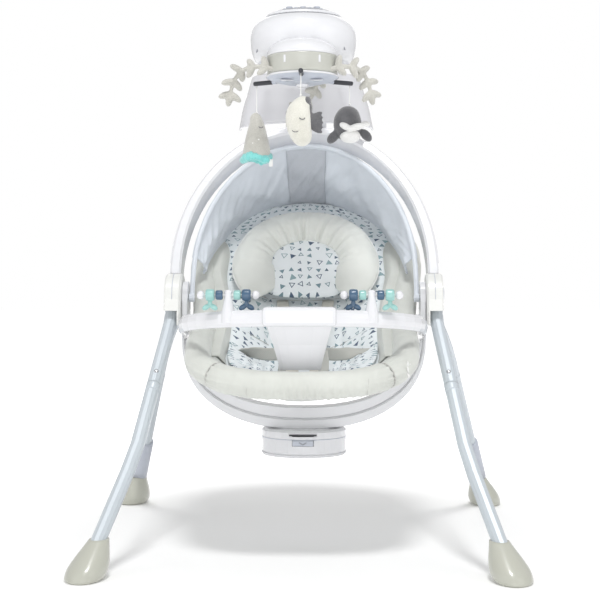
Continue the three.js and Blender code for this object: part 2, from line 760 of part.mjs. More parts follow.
// The seat's inner surface: w runs across it from -1 to 1, and v along it from front to head.
const spine = new THREE.CatmullRomCurve3(
  [
    [-252, 312],
    [-190, 288],
    [-110, 277],
    [-30, 284],
    [40, 336],
    [105, 415],
    [165, 495],
    [218, 568],
    [258, 622],
  ].map(([y, z]) => vec(0, y, z)),
);
const edge = new THREE.CatmullRomCurve3(
  [
    [-238, 108, 318],
    [-205, 140, 340],
    [-140, 158, 362],
    [-65, 162, 386],
    [5, 162, 420],
    [75, 170, 464],
    [140, 180, 514],
    [200, 166, 572],
    [242, 136, 609],
  ].map(([y, x, z]) => vec(x, y, z)),
);

function seatPoint(w, v) {
  const t = (v + 1) / 2;
  const low = spine.getPoint(t);
  const high = edge.getPoint(t);
  const rise = Math.abs(w) ** 2.2;
  return vec(w * high.x, THREE.MathUtils.lerp(low.y, high.y, rise), THREE.MathUtils.lerp(low.z, high.z, rise));
}

function seatNormal(w, v) {
  const h = 0.01;
  const across = seatPoint(w + h, v).sub(seatPoint(w - h, v));
  const along = seatPoint(w, Math.min(v + h, 1)).sub(seatPoint(w, Math.max(v - h, -1)));
  return across.cross(along).normalize();
}

const seatOffset = (w, v, height) => seatPoint(w, v).addScaledVector(seatNormal(w, v), height);

// A layer on the seat's surface between two heights above it.
function seatLayer(w0, w1, v0, v1, h0, h1, across, along) {
  const lerp = THREE.MathUtils.lerp;
  return warp(new THREE.BoxGeometry(1, 1, 1, across, along, 1), (p) =>
    seatOffset(lerp(w0, w1, p.x + 0.5), lerp(v0, v1, p.y + 0.5), lerp(h0, h1, p.z + 0.5)),
  );
}

// The head pillow: a flattened cushion that lies across the rim's raised sides, in its own leaning plane.
const PILLOW = { y: 140, z: 551, lean: 36.7, halfWidth: 150, halfLength: 113, halfThick: 18 };

function headPillow() {
  const tilt = THREE.MathUtils.degToRad(90 - PILLOW.lean);
  return warp(new THREE.SphereGeometry(1, 16, 10), (p) =>
    vec(p.x * PILLOW.halfWidth, p.y * PILLOW.halfLength, p.z * PILLOW.halfThick)
      .applyAxisAngle(vec(1, 0, 0), tilt)
      .add(vec(0, PILLOW.y, PILLOW.z)),
  );
}

add(swing, "seat_frame_tube", rimRing(FRAME_RADIUS, 6, 16), STEEL);
const rimRoll = cut(rimRing(RIM_RADIUS, 10, 16), rimRing(FRAME_RADIUS + 0.6, 6, 16));
add(swing, "rim_roll_front", keep(rimRoll, box(-300, 300, -400, RIM_SEAM_Y - GAP, 200, 700)), SATIN);
add(swing, "rim_roll_rear", keep(rimRoll, box(-300, 300, RIM_SEAM_Y + GAP, 400, 200, 700)), SATIN);
add(swing, "seat_sling", seatLayer(-1, 1, -1, 1, -5, 0, 8, 14), SATIN);
add(swing, "seat_pad", seatLayer(-0.84, 0.84, -0.97, 0.97, 3.2, 15, 8, 14), PRINT);
add(swing, "head_pillow", headPillow(), SATIN);
for (const [side, w] of [["right", 0.28], ["left", -0.28]]) {
  const strap = seatLayer(w - 0.09, w + 0.09, -0.42, 0.06, 17.5, 20.5, 1, 6);
  add(swing, `shoulder_strap_${side}`, strap, STRAP);
}
const buckleBase = seatPoint(0, -0.5);
const buckle = cut(softBox(-24, 24, -16, 16, 0, 14, 3), rodAlongZ(8 + GAP, 6, 20));
add(swing, "harness_buckle", buckle.translate(0, buckleBase.y, buckleBase.z + 17.5), WHITE);
add(swing, "buckle_button", rodAlongZ(8, 8.5, 15.5).translate(0, buckleBase.y, buckleBase.z + 17.5), GREY);

// ---- Canopy: a bow on side pivots and a fabric fan behind it ----
const canopy = new THREE.Group();
canopy.position.z = ARCH_Z;
swing.add(canopy);

// A rib of the fan, in the plane that leans back by an angle: t is its angle from right to left.
function ribPoint(lean, halfWidth, rise, t) {
  const x = halfWidth * Math.cos(t);
  const up = ARCH_STRAIGHT + rise * Math.sin(t);
  return vec(x, up * Math.sin(lean), up * Math.cos(lean));
}

function canopyBow() {
  const steps = 18;
  const points = Array.from({ length: steps + 1 }, (_, i) =>
    ribPoint(LEAN, BOW_HALF_WIDTH, BOW_RISE, (Math.PI * i) / steps),
  );
  const foot = (x) => vec(x, 0, BOW_PIVOT_Z - ARCH_Z);
  const bow = sweep(roundShape(BOW_RADIUS, 8), [foot(BOW_HALF_WIDTH), ...points, foot(-BOW_HALF_WIDTH)], 26);
  const eye = rodAlongX(8, BOW_HALF_WIDTH - 5, BOW_HALF_WIDTH + 5, 0, BOW_PIVOT_Z - ARCH_Z, 12);
  const hole = rodAlongX(3 + GAP, BOW_HALF_WIDTH - 9, BOW_HALF_WIDTH + 9, 0, BOW_PIVOT_Z - ARCH_Z, 8);
  return cut(join(bow, eye, mirrorX(eye)), hole, mirrorX(hole));
}

// The fabric fans back from the bow, keeping low until it is past the arch.
function canopyFabric() {
  const lerp = THREE.MathUtils.lerp;
  const surface = (s, v, height) => {
    const rise = BOW_RISE + 20 * v ** 4 + height;
    const halfWidth = lerp(BOW_HALF_WIDTH - 1, 206, v) + height;
    const t = Math.PI * (0.5 + 0.46 * s);
    const clearOfBow = LEAN + 8 / (ARCH_STRAIGHT + rise * Math.sin(t));
    return ribPoint(lerp(clearOfBow, THREE.MathUtils.degToRad(52), v), halfWidth, rise, t);
  };
  return warp(new THREE.BoxGeometry(2, 1, 1, 18, 4, 1), (p) => surface(p.x, p.y + 0.5, p.z * 4));
}

add(canopy, "canopy_bow", canopyBow(), WHITE);
add(canopy, "canopy_fabric", canopyFabric(), CANOPY);

// ---- Tray: a bar round the front with a raised panel, two towers and two spinners ----
const TRAY_PATH = [
  [227, -60, 407],
  [226, -100, 411],
  [209, -180, 420],
  [160, -248, 427],
  [100, -287, 431],
  [40, -304, 432],
];

function trayBar() {
  const half = TRAY_PATH.map(([x, y, z]) => vec(x, y, z));
  const other = [...half].reverse().map((p) => vec(-p.x, p.y, p.z));
  const section = new THREE.Shape();
  section.absellipse(0, 0, TRAY_DEPTH / 2, TRAY_HEIGHT / 2, 0, 2 * Math.PI, false);
  const path = new THREE.CatmullRomCurve3([...half, ...other], false, "centripetal");
  const options = { steps: 26, extrudePath: path, bevelEnabled: false, curveSegments: 5 };
  const bar = outward(new THREE.ExtrudeGeometry(section, options));
  const panel = softBox(-64, 64, -319, -293, 418, 452, 7);
  const towers = [-1, 1].map((side) => tower().translate(side * TOWER_X, TOWER_Y, 0));
  return join(bar, panel, ...towers, trayEye(), mirrorX(trayEye()), crotchPost());
}

// The hinge eye that carries an end of the bar on the arm's pin.
function trayEye() {
  const [inner, outer] = [219.4, YOKE_INNER_HALF - 0.4];
  const disc = rodAlongX(12, inner, outer, TRAY_PIVOT_Y, TRAY_PIVOT_Z, 16);
  const link = box(inner, outer, -72, TRAY_PIVOT_Y, TRAY_PIVOT_Z - 10, TRAY_PIVOT_Z + 10);
  return cut(join(disc, link), rodAlongX(4 + GAP, inner - 5, outer + 5, TRAY_PIVOT_Y, TRAY_PIVOT_Z, 8));
}

function tower() {
  const cone = revolve([[0, 424], [12, 424], [12, 440], [7, 466], [7, 478], [4, 481], [0, 481]], 14);
  return cut(cone, rodAlongX(3 + GAP, -20, 20, 0, SPINNER_Z, 8));
}

// The post between the child's legs, from the bar's panel down to the seat's front.
function crotchPost() {
  const levels = [
    [340, 37, 8, 0, -246],
    [350, 39, 9, 0, -250],
    [385, 48, 10, 0, -270],
    [412, 56, 11, 0, -292],
    [424, 58, 11, 0, -304],
  ];
  return stack(levels, 14);
}

// An axle with two barrel beads and a ball on each side of its tower.
function spinner() {
  const half = [
    [3, 9],
    [9, 10],
    [9, 21],
    [5, 23],
    [10, 25],
    [10, 37],
    [4, 41],
    [7, 45],
    [6, 52],
    [0, 54],
  ];
  const mirrored = half.map(([r, x]) => [r, -x]).reverse();
  const axle = revolve([...mirrored, ...half], 12).rotateY(Math.PI / 2);
  const charm = (x) => new THREE.CylinderGeometry(9, 9, 6, 10).rotateZ(Math.PI / 2).translate(x, 0, -17);
  return join(axle, charm(16), charm(31), charm(-16), charm(-31));
}

add(swing, "tray_bar", trayBar(), WHITE);
addPair(swing, "bead_spinner", spinner().translate(TOWER_X, TOWER_Y, SPINNER_Z), BEAD);

export default swing;
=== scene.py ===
"""The looks of a baby swing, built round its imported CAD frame. Metres, +Z up, the front at -Y."""
import math
import random

import bmesh
import bpy
from mathutils import Euler, Matrix, Vector, noise
from mathutils.bvhtree import BVHTree


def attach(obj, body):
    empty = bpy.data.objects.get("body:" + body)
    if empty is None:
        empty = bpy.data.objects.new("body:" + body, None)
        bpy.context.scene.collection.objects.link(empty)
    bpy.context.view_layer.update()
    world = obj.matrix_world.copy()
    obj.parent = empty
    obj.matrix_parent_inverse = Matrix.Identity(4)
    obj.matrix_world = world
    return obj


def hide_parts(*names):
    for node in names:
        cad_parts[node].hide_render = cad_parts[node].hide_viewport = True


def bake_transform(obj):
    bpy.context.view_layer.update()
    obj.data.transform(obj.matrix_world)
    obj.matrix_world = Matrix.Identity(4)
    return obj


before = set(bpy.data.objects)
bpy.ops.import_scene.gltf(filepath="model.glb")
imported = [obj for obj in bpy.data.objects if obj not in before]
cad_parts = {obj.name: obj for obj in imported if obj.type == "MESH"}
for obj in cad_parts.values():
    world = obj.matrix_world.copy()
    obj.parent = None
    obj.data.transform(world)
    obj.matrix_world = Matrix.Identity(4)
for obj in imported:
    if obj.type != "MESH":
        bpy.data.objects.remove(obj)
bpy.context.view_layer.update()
MM = 0.001
SWING_Z = 0.472
ARCH_Z = 0.460
LEAN = math.radians(26)
HEAD_Y = -40  # the head's and the mobile's axes stand this far forward, in mm
MOBILE_Y = -115
SIDES = ((-1, "left"), (1, "right"))
SEAT = "swing_seat"
TURN = 2 * math.pi
UP = Vector((0, 0, 1))


def mm(x, y, z):
    return Vector((x, y, z)) * MM


def lerp(a, b, t):
    return a + (b - a) * t


def clamp(x, low=0.0, high=1.0):
    return max(low, min(high, x))


def bump_at(x, centre, half):
    """A smooth hill of height 1 at the centre, 0 beyond the half width."""
    d = abs(x - centre) / half
    return 0.0 if d >= 1 else 0.5 + 0.5 * math.cos(math.pi * d)


def new_object(name, data):
    obj = bpy.data.objects.new(name, data)
    bpy.context.collection.objects.link(obj)
    return obj


# ---------------------------------------------------------------- camera and light
PICTURE = 600  # the picture's side
CAMERA_AWAY, CAMERA_HEIGHT, CAMERA_TURN = 2.57, 0.493, math.radians(1.5)
# name, place, height of the point aimed at, diameter, power
LIGHTS = (("top", (0.20, -2.7, 6.1), 0.3, 1.3, 180), ("key", (2.3, -1.9, 1.5), 0.5, 1.8, 7),
          ("fill", (-2.6, -2.0, 1.2), 0.5, 2.0, 8), ("low", (0.0, -2.6, 0.35), 0.45, 1.4, 8),
          ("back", (0.0, 3.0, 2.2), 0.5, 2.4, 14))
FLOOR_RADII = (0.5, 1, 1.5, 2, 3, 4, 6, 9, 14, 22)
FLOOR_GLOW = {"From Min": 0.30, "From Max": 1.5, "To Min": 0.03, "To Max": 0.55}


def set_camera():
    cam = bpy.data.cameras.new("camera")
    cam.sensor_width, cam.lens, cam.clip_end = 36.0, 79.1, 50
    cam.shift_x, cam.shift_y = -4 / PICTURE, -17 / PICTURE
    obj = new_object("camera", cam)
    obj.location = (CAMERA_AWAY * math.sin(CAMERA_TURN), -CAMERA_AWAY * math.cos(CAMERA_TURN), CAMERA_HEIGHT)
    obj.rotation_euler = Euler((math.radians(90), 0, CAMERA_TURN))
    bpy.context.scene.camera = obj


def set_world():
    """A white studio where it is seen, and softer where it lights."""
    world = bpy.data.worlds.new("studio")
    bpy.context.scene.world = world
    world.use_nodes = True
    tree = world.node_tree
    path = tree.nodes.new("ShaderNodeLightPath")
    mix = tree.nodes.new("ShaderNodeMixShader")
    tree.links.new(path.outputs["Is Camera Ray"], mix.inputs[0])
    shaders = ((tree.nodes["Background"], 0.545), (tree.nodes.new("ShaderNodeBackground"), 1.0))
    for i, (shader, strength) in enumerate(shaders):
        shader.inputs[0].default_value = (1.0, 1.0, 1.0, 1)
        shader.inputs[1].default_value = strength
        tree.links.new(shader.outputs[0], mix.inputs[i + 1])
    tree.links.new(mix.outputs[0], tree.nodes["World Output"].inputs[0])
    bpy.context.scene.view_settings.view_transform = "Standard"


def floor_paper():
    """Pale paper that glows away from the swing, so that it meets the white background."""
    n = material("floor_paper", (0.95, 0.95, 0.95), 0.9, vary=0.0, nodes=True)
    n.bsdf.inputs["Emission Color"].default_value = (1, 1, 1, 1)
    where = n.add("ShaderNodeNewGeometry").outputs["Position"]
    glow = n.add("ShaderNodeMapRange", interpolation_type="SMOOTHSTEP")
    for socket, value in FLOOR_GLOW.items():
        glow.inputs[socket].default_value = value
    length = n.add("ShaderNodeVectorMath", operation="LENGTH")
    n.link(where, length.inputs[0])
    n.link(length.outputs["Value"], glow.inputs["Value"])
    n.link(glow.outputs["Result"], n.bsdf.inputs["Emission Strength"])
    return n.mat


def set_stage():
    """The studio, the lights, and a round floor that reaches past every view."""
    set_world()
    for name, where, aim, size, power in LIGHTS:
        data = bpy.data.lights.new(name, "AREA")
        data.shape, data.size, data.energy = "DISK", size, power
        lamp = new_object(name, data)
        lamp.location = where
        lamp.rotation_euler = (Vector((0, 0, aim)) - Vector(where)).to_track_quat("-Z", "Y").to_euler()
    steps = 64
    verts = [(r * math.cos(TURN * k / steps), r * math.sin(TURN * k / steps), 0)
             for r in FLOOR_RADII for k in range(steps)] + [(0, 0, 0)]
    faces = [(len(verts) - 1, k, (k + 1) % steps) for k in range(steps)]
    for i in range(len(FLOOR_RADII) - 1):
        faces += [(i * steps + k, (i + 1) * steps + k, (i + 1) * steps + (k + 1) % steps,
                   i * steps + (k + 1) % steps)
                  for k in range(steps)]
    floor = mesh_object("floor", verts, faces)
    floor.data.materials.append(floor_paper())


# ---------------------------------------------------------------- materials
def colour4(c):
    return (c[0], c[1], c[2], 1.0)


class Nodes:
    """A new material, and short calls for building its node tree."""

    def __init__(self, name, **inputs):
        self.mat = bpy.data.materials.new(name)
        self.mat.use_nodes = True
        self.tree = self.mat.node_tree
        self.bsdf = self.tree.nodes["Principled BSDF"]
        for key, value in inputs.items():
            self.bsdf.inputs[key.replace("_", " ")].default_value = value
        self.at = self.add("ShaderNodeTexCoord").outputs["Object"]

    def add(self, kind, **values):
        node = self.tree.nodes.new(kind)
        for key, value in values.items():
            setattr(node, key, value)
        return node

    def link(self, a, b):
        self.tree.links.new(a, b)

    def finish(self, colour, rough, normal=None):
        self.link(colour, self.bsdf.inputs["Base Color"])
        self.link(rough, self.bsdf.inputs["Roughness"])
        if normal is not None:
            self.link(normal, self.bsdf.inputs["Normal"])
        return self.mat

    def math(self, op, a, b=None, c=None):
        node = self.add("ShaderNodeMath", operation=op)
        for i, value in enumerate((a, b, c)):
            if value is None:
                continue
            if isinstance(value, (int, float)):
                node.inputs[i].default_value = value
            else:
                self.link(value, node.inputs[i])
        return node.outputs[0]

    def vmath(self, op, a, b=None, scale=None):
        node = self.add("ShaderNodeVectorMath", operation=op)
        for i, value in enumerate((a, b)):
            if value is None:
                continue
            if isinstance(value, (tuple, list)):
                node.inputs[i].default_value = value
            else:
                self.link(value, node.inputs[i])
        if scale is not None:
            node.inputs["Scale"].default_value = scale
        return node.outputs[0]

    def noise(self, scale, detail=3.0, rough=0.5):
        node = self.add("ShaderNodeTexNoise")
        node.inputs["Scale"].default_value = scale
        node.inputs["Detail"].default_value = detail
        node.inputs["Roughness"].default_value = rough
        self.link(self.at, node.inputs["Vector"])
        return node.outputs["Fac"]

    def ramp(self, fac, stops, constant=False):
        node = self.add("ShaderNodeValToRGB")
        ramp = node.color_ramp
        if constant:
            ramp.interpolation = "CONSTANT"
        while len(ramp.elements) < len(stops):
            ramp.elements.new(0.5)
        for element, (at, c) in zip(ramp.elements, stops):
            element.position = at
            element.color = colour4(c)
        self.link(fac, node.inputs[0])
        return node.outputs[0]

    def drift(self, base, dark, light, scale, detail=3.0):
        """A colour that wanders between a darker and a lighter share of itself."""
        stops = [(at, tuple(clamp(c * share) for c in base)) for at, share in ((0.3, dark), (0.7, light))]
        return self.ramp(self.noise(scale, detail), stops)

    def mix(self, fac, a, b):
        node = self.add("ShaderNodeMix", data_type="RGBA")
        for k, socket in ((0, fac), (6, a), (7, b)):
            self.link(socket, node.inputs[k])
        return node.outputs[2]

    def bump(self, height, strength, distance, normal=None):
        node = self.add("ShaderNodeBump")
        node.inputs["Strength"].default_value = strength
        node.inputs["Distance"].default_value = distance
        self.link(height, node.inputs["Height"])
        if normal is not None:
            self.link(normal, node.inputs["Normal"])
        return node.outputs[0]


def material(name, base, rough, metal=0.0, coat=0.0, vary=0.02, grain=0.0, grain_scale=900.0, nodes=False):
    """A plain finish: its colour drifts a little, its roughness is uneven, and it has a fine grain."""
    n = Nodes(name, Metallic=metal, Coat_Weight=coat, Coat_Roughness=0.12)
    uneven = n.math("MULTIPLY_ADD", n.noise(60, 4.0), 0.12 * rough + 0.03, rough * 0.94 - 0.015)
    relief = n.bump(n.noise(grain_scale, 2.0), grain, 0.0004) if grain > 0 else None
    mat = n.finish(n.drift(base, 1 - vary, 1 + vary, 6.0), uneven, relief)
    return n if nodes else mat


def weave_height(n, count):
    """Threads over and under, from two crossed waves, count threads a metre."""
    split = n.add("ShaderNodeSeparateXYZ")
    n.link(n.vmath("SCALE", n.at, scale=count * math.pi), split.inputs[0])
    x, y, z = split.outputs
    return n.math("MULTIPLY", n.math("SINE", n.math("ADD", x, n.math("MULTIPLY", y, 0.35))),
                  n.math("SINE", n.math("ADD", z, n.math("MULTIPLY", y, 0.6))))


def cloth_finish(n, colour, rough, threads, weave, wrinkle, wrinkle_scale):
    """Uneven roughness, soft crumples, and the weave on top of them."""
    uneven = n.math("MULTIPLY_ADD", n.noise(120), 0.15, rough - 0.08)
    crumple = n.bump(n.noise(wrinkle_scale, 3.0, 0.45), wrinkle, 0.006)
    return n.finish(colour, uneven, n.bump(weave_height(n, threads), weave, 0.0003, crumple))


def cloth(name, base, rough=0.8, sheen=0.25, threads=900, weave=0.2, wrinkle=0.05, wrinkle_scale=26):
    n = Nodes(name, Sheen_Weight=sheen, Sheen_Roughness=0.45, Specular_IOR_Level=0.3)
    return cloth_finish(n, n.drift(base, 0.94, 1.03, 14, 5.0), rough, threads, weave, wrinkle, wrinkle_scale)


def satin(name, base):
    return cloth(name, base, rough=0.55, sheen=0.35, threads=1200, weave=0.12, wrinkle=0.3)


def plush(name, base, tip):
    n = Nodes(name, Sheen_Weight=0.6, Sheen_Roughness=0.6)
    pile = n.noise(700, 3.0, 0.7)
    depth = n.math("MULTIPLY_ADD", n.noise(45), 0.4, n.math("MULTIPLY", pile, 0.6))
    return n.finish(n.ramp(depth, [(0.35, base), (0.65, tip)]), n.math("MULTIPLY_ADD", pile, 0.1, 0.85),
                    n.bump(pile, 0.8, 0.0012))


INKS = ((0.11, 0.16, 0.22), (0.20, 0.30, 0.34), (0.08, 0.12, 0.19), (0.30, 0.42, 0.45))


def triangle_print(name, ground, cell):
    """Small scattered triangles, some filled and some outlined, on a cloth ground; it uses UVs in metres."""
    n = Nodes(name, Sheen_Weight=0.2, Sheen_Roughness=0.5)
    p = n.vmath("SCALE", n.add("ShaderNodeTexCoord").outputs["UV"], scale=1 / cell)
    cell_id = n.vmath("FLOOR", p)
    rand = n.add("ShaderNodeTexWhiteNoise", noise_dimensions="3D")
    n.link(cell_id, rand.inputs["Vector"])
    split = n.add("ShaderNodeSeparateColor")
    n.link(rand.outputs["Color"], split.inputs[0])
    offset = n.vmath("SCALE", n.vmath("SUBTRACT", rand.outputs["Color"], (0.5, 0.5, 0.5)), scale=0.35)
    local = n.vmath("SUBTRACT", n.vmath("SUBTRACT", n.vmath("FRACTION", p), (0.5, 0.5, 0.0)), offset)
    turn = n.add("ShaderNodeVectorRotate", rotation_type="Z_AXIS")
    n.link(local, turn.inputs["Vector"])
    n.link(n.math("MULTIPLY", split.outputs[2], 6.283), turn.inputs["Angle"])
    q = n.add("ShaderNodeSeparateXYZ")
    n.link(turn.outputs[0], q.inputs[0])
    side = n.math("MULTIPLY_ADD", n.math("ABSOLUTE", q.outputs[0]), 0.866,
                  n.math("MULTIPLY", q.outputs[1], 0.5))
    edge = n.math("MAXIMUM", side, n.math("MULTIPLY", q.outputs[1], -1.0))
    size = n.math("MULTIPLY_ADD", split.outputs[0], 0.13, 0.13)
    inside = n.math("LESS_THAN", edge, size)
    core = n.math("LESS_THAN", edge, n.math("SUBTRACT", size, 0.085))
    hollow = n.math("MULTIPLY", core, n.math("GREATER_THAN", split.outputs[1], 0.55))
    ink_on = n.math("MULTIPLY", n.math("SUBTRACT", inside, hollow),
                    n.math("LESS_THAN", rand.outputs["Value"], 0.9))
    ink = n.ramp(split.outputs[0], [(i / len(INKS), c) for i, c in enumerate(INKS)], constant=True)
    colour = n.mix(ink_on, n.drift(ground, 0.95, 1.0, 14, 4.0), ink)
    return cloth_finish(n, colour, 0.84, 1000, 0.2, 0.35, 22)


WHITE = material("white_gloss", (0.735, 0.74, 0.765), 0.25, coat=0.35, grain=0.03)
BELL = material("bell_white", (0.70, 0.70, 0.73), 0.22, coat=0.5, grain=0.02)
CREAM = material("cream_gloss", (0.77, 0.775, 0.75), 0.3, coat=0.25, grain=0.03)
RING = material("ring_cream", (0.50, 0.505, 0.46), 0.35, coat=0.2, grain=0.05)
GREY = material("panel_grey", (0.30, 0.31, 0.345), 0.4, grain=0.15)
PALE_GREY = material("pale_grey", (0.50, 0.53, 0.60), 0.35, grain=0.05)
DARK = material("dark_plastic", (0.035, 0.037, 0.045), 0.4, grain=0.1)
WINDOW = material("dark_window", (0.02, 0.022, 0.03), 0.12, coat=0.6)
TUBE = material("leg_paint", (0.56, 0.61, 0.65), 0.36, metal=0.15, coat=0.3, grain=0.08, grain_scale=500)
SHOE = material("shoe_gloss", (0.50, 0.505, 0.44), 0.32, coat=0.4, grain=0.04)
STEEL = material("plain_steel", (0.55, 0.56, 0.58), 0.32, metal=1.0, grain=0.1)
# one cream satin in two shades: the copy for the rolls and bolsters is darker, a painted shade, and the
# pillow's copy is lighter, painted light
SATIN_SHADED = satin("cream_satin_shaded", (0.625, 0.64, 0.60))
SATIN_LIT = satin("pillow_satin_lit", (0.76, 0.775, 0.735))
SHELL_CLOTH = cloth("shell_cloth", (0.58, 0.595, 0.57), rough=0.7, wrinkle=0.35)
PIPING = cloth("white_piping", (0.80, 0.80, 0.79), rough=0.6, threads=1500)
CANOPY = cloth("canopy_cloth", (0.70, 0.74, 0.795), rough=0.75, threads=1000, wrinkle=0.45,
               wrinkle_scale=14)
CANOPY_PANEL = cloth("canopy_panel", (0.53, 0.555, 0.60), rough=0.8, threads=500, weave=0.5, wrinkle=0.15)
WEB = cloth("strap_web", (0.66, 0.64, 0.58), rough=0.7, threads=600, weave=0.6)
LAP_WEB = cloth("lap_web", (0.52, 0.52, 0.485), rough=0.7, threads=600, weave=0.6)
MINT_CLOTH = cloth("mint_piping", (0.42, 0.63, 0.62), rough=0.7, threads=1500)
PRINT = triangle_print("triangle_print", (0.83, 0.875, 0.895), 0.0145)
PRINT_LARGE = triangle_print("triangle_print_large", (0.90, 0.94, 0.96), 0.0185)
PLUSH_CREAM = plush("plush_cream", (0.41, 0.40, 0.36), (0.60, 0.59, 0.54))
PLUSH_FACE = plush("plush_face", (0.60, 0.59, 0.52), (0.80, 0.79, 0.72))
PLUSH_GREY = plush("plush_grey", (0.045, 0.045, 0.05), (0.13, 0.13, 0.14))
PLUSH_WHITE = plush("plush_white", (0.72, 0.71, 0.69), (0.86, 0.86, 0.85))
PLUSH_TEAL = plush("plush_teal", (0.10, 0.52, 0.50), (0.28, 0.74, 0.71))
MINT = material("bead_mint", (0.30, 0.55, 0.52), 0.3, coat=0.4, grain=0.03)
NAVY = material("bead_navy", (0.05, 0.11, 0.19), 0.3, coat=0.4, grain=0.03)
THREAD = cloth("thread", (0.16, 0.16, 0.17), rough=0.8, wrinkle=0.0)
SEAM = cloth("seam_thread", (0.50, 0.495, 0.475), rough=0.85, threads=1500, wrinkle=0.0)


# ---------------------------------------------------------------- mesh tools
def place(obj, mat, body, slot, *nodes):
    """Gives a new object its material and its body, and hides the CAD nodes that it stands for. The slot is not
    used.
    """
    finish_mesh(obj, mat)
    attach(obj, body)
    if nodes:
        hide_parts(*nodes)
    return obj


def finish_mesh(obj, mat):
    obj.data.materials.append(mat)
    obj.data.polygons.foreach_set("use_smooth", [True] * len(obj.data.polygons))


def mesh_object(name, verts, faces, uvs=None):
    mesh = bpy.data.meshes.new(name)
    mesh.from_pydata([tuple(v) for v in verts], [], faces)
    mesh.update()
    if uvs:
        layer = mesh.uv_layers.new(name="UVMap")
        for loop in mesh.loops:
            layer.data[loop.index].uv = uvs[loop.vertex_index]
    return new_object(name, mesh)


def bmesh_object(name, bm):
    mesh = bpy.data.meshes.new(name)
    bm.to_mesh(mesh)
    bm.free()
    return new_object(name, mesh)


def fix_normals(obj, merge=False):
    bm = bmesh.new()
    bm.from_mesh(obj.data)
    if merge:
        bmesh.ops.remove_doubles(bm, verts=bm.verts, dist=1e-6)
    bmesh.ops.recalc_face_normals(bm, faces=bm.faces)
    bm.to_mesh(obj.data)
    bm.free()
    return obj


def loft(name, verts, sides, uvs=None, closed=False):
    """Joins rings of points, sides to a ring, into a tube with flat ends, or into a closed hoop."""
    rings, faces = len(verts) // sides, []
    for i in range(rings if closed else rings - 1):
        a, b = i * sides, (i + 1) % rings * sides
        for k in range(sides):
            m = (k + 1) % sides
            faces.append((a + k, a + m, b + m, b + k))
    if not closed:
        faces.append(tuple(range(sides - 1, -1, -1)))
        faces.append(tuple((rings - 1) * sides + k for k in range(sides)))
    return fix_normals(mesh_object(name, verts, faces, uvs))


def join_objects(name, objs):
    """One smooth object from several that have no materials yet."""
    bm = bmesh.new()
    for o in objs:
        bm.from_mesh(o.data)
        bpy.data.objects.remove(o)
    for f in bm.faces:
        f.smooth = True
    return bmesh_object(name, bm)


def slab_surface(name, f, nu, nv, thick, scale=(1.0, 1.0)):
    """A closed sheet: f(u, v, h) gives a point for u and v in 0..1 at height h above the middle surface."""
    verts, uvs, faces = [], [], []
    for layer in (0, 1):
        h = thick * (layer - 0.5)
        for j in range(nv + 1):
            for i in range(nu + 1):
                verts.append(f(i / nu, j / nv, h))
                uvs.append((i / nu * scale[0], j / nv * scale[1]))
    base = (nu + 1) * (nv + 1)

    def at(i, j, layer):
        return layer * base + j * (nu + 1) + i

    for j in range(nv):
        for i in range(nu):
            faces.append((at(i, j, 1), at(i + 1, j, 1), at(i + 1, j + 1, 1), at(i, j + 1, 1)))
            faces.append((at(i, j + 1, 0), at(i + 1, j + 1, 0), at(i + 1, j, 0), at(i, j, 0)))
    for i in range(nu):
        faces.append((at(i, 0, 0), at(i + 1, 0, 0), at(i + 1, 0, 1), at(i, 0, 1)))
        faces.append((at(i, nv, 1), at(i + 1, nv, 1), at(i + 1, nv, 0), at(i, nv, 0)))
    for j in range(nv):
        faces.append((at(0, j, 1), at(0, j + 1, 1), at(0, j + 1, 0), at(0, j, 0)))
        faces.append((at(nu, j, 0), at(nu, j + 1, 0), at(nu, j + 1, 1), at(nu, j, 1)))
    return fix_normals(mesh_object(name, verts, faces, uvs))


def tube(name, path, radius, sides=16, closed=False, up=None):
    """A tube along points. radius is a number, or f(t, angle); up steadies the ring's turn."""
    n, verts, uvs, normal, length = len(path), [], [], None, 0.0
    for i, p in enumerate(path):
        if closed:
            tangent = (path[(i + 1) % n] - path[i - 1]).normalized()
        else:
            tangent = (path[min(i + 1, n - 1)] - path[max(i - 1, 0)]).normalized()
        if up is not None:
            normal = (up - tangent * tangent.dot(up)).normalized()
        elif normal is None:
            trial = UP if abs(tangent.z) < 0.9 else Vector((0, 1, 0))
            normal = (trial - tangent * tangent.dot(trial)).normalized()
        else:
            normal = (normal - tangent * tangent.dot(normal)).normalized()
        side = tangent.cross(normal)
        t = i / (n if closed else n - 1)
        if i:
            length += (p - path[i - 1]).length
        for k in range(sides):
            a = TURN * k / sides
            r = radius(t, a) if callable(radius) else radius
            verts.append(p + normal * (r * math.cos(a)) + side * (r * math.sin(a)))
            uvs.append((length, k / sides * TURN * 0.02))
    return loft(name, verts, sides, uvs, closed)


def lathe(name, profile, sides=64, centre=(0, 0, 0), axis="z"):
    """A turned piece: profile is (radius, height) pairs in mm; points on the axis close it."""
    verts, faces, rows = [], [], []
    hoop = profile[0] == profile[-1]
    for r, z in profile:
        row = [0] if r < 1e-6 else [TURN * k / sides for k in range(sides)]
        rows.append(list(range(len(verts), len(verts) + len(row))))
        verts += [(r * MM * math.cos(a), r * MM * math.sin(a), z * MM) for a in row]
    for a, b in zip(rows, rows[1:]):
        for k in range(sides):
            m = (k + 1) % sides
            if len(a) == 1:
                faces.append((a[0], b[m], b[k]))
            elif len(b) == 1:
                faces.append((a[k], a[m], b[0]))
            else:
                faces.append((a[k], a[m], b[m], b[k]))
    if len(rows[0]) > 1 and not hoop:
        faces.append(tuple(reversed(rows[0])))
    if len(rows[-1]) > 1 and not hoop:
        faces.append(tuple(rows[-1]))
    turn = Matrix.Rotation(math.pi / 2 if axis == "x" else 0, 3, "Y")
    verts = [turn @ Vector(v) + Vector(centre) for v in verts]
    return fix_normals(mesh_object(name, verts, faces), merge=hoop)


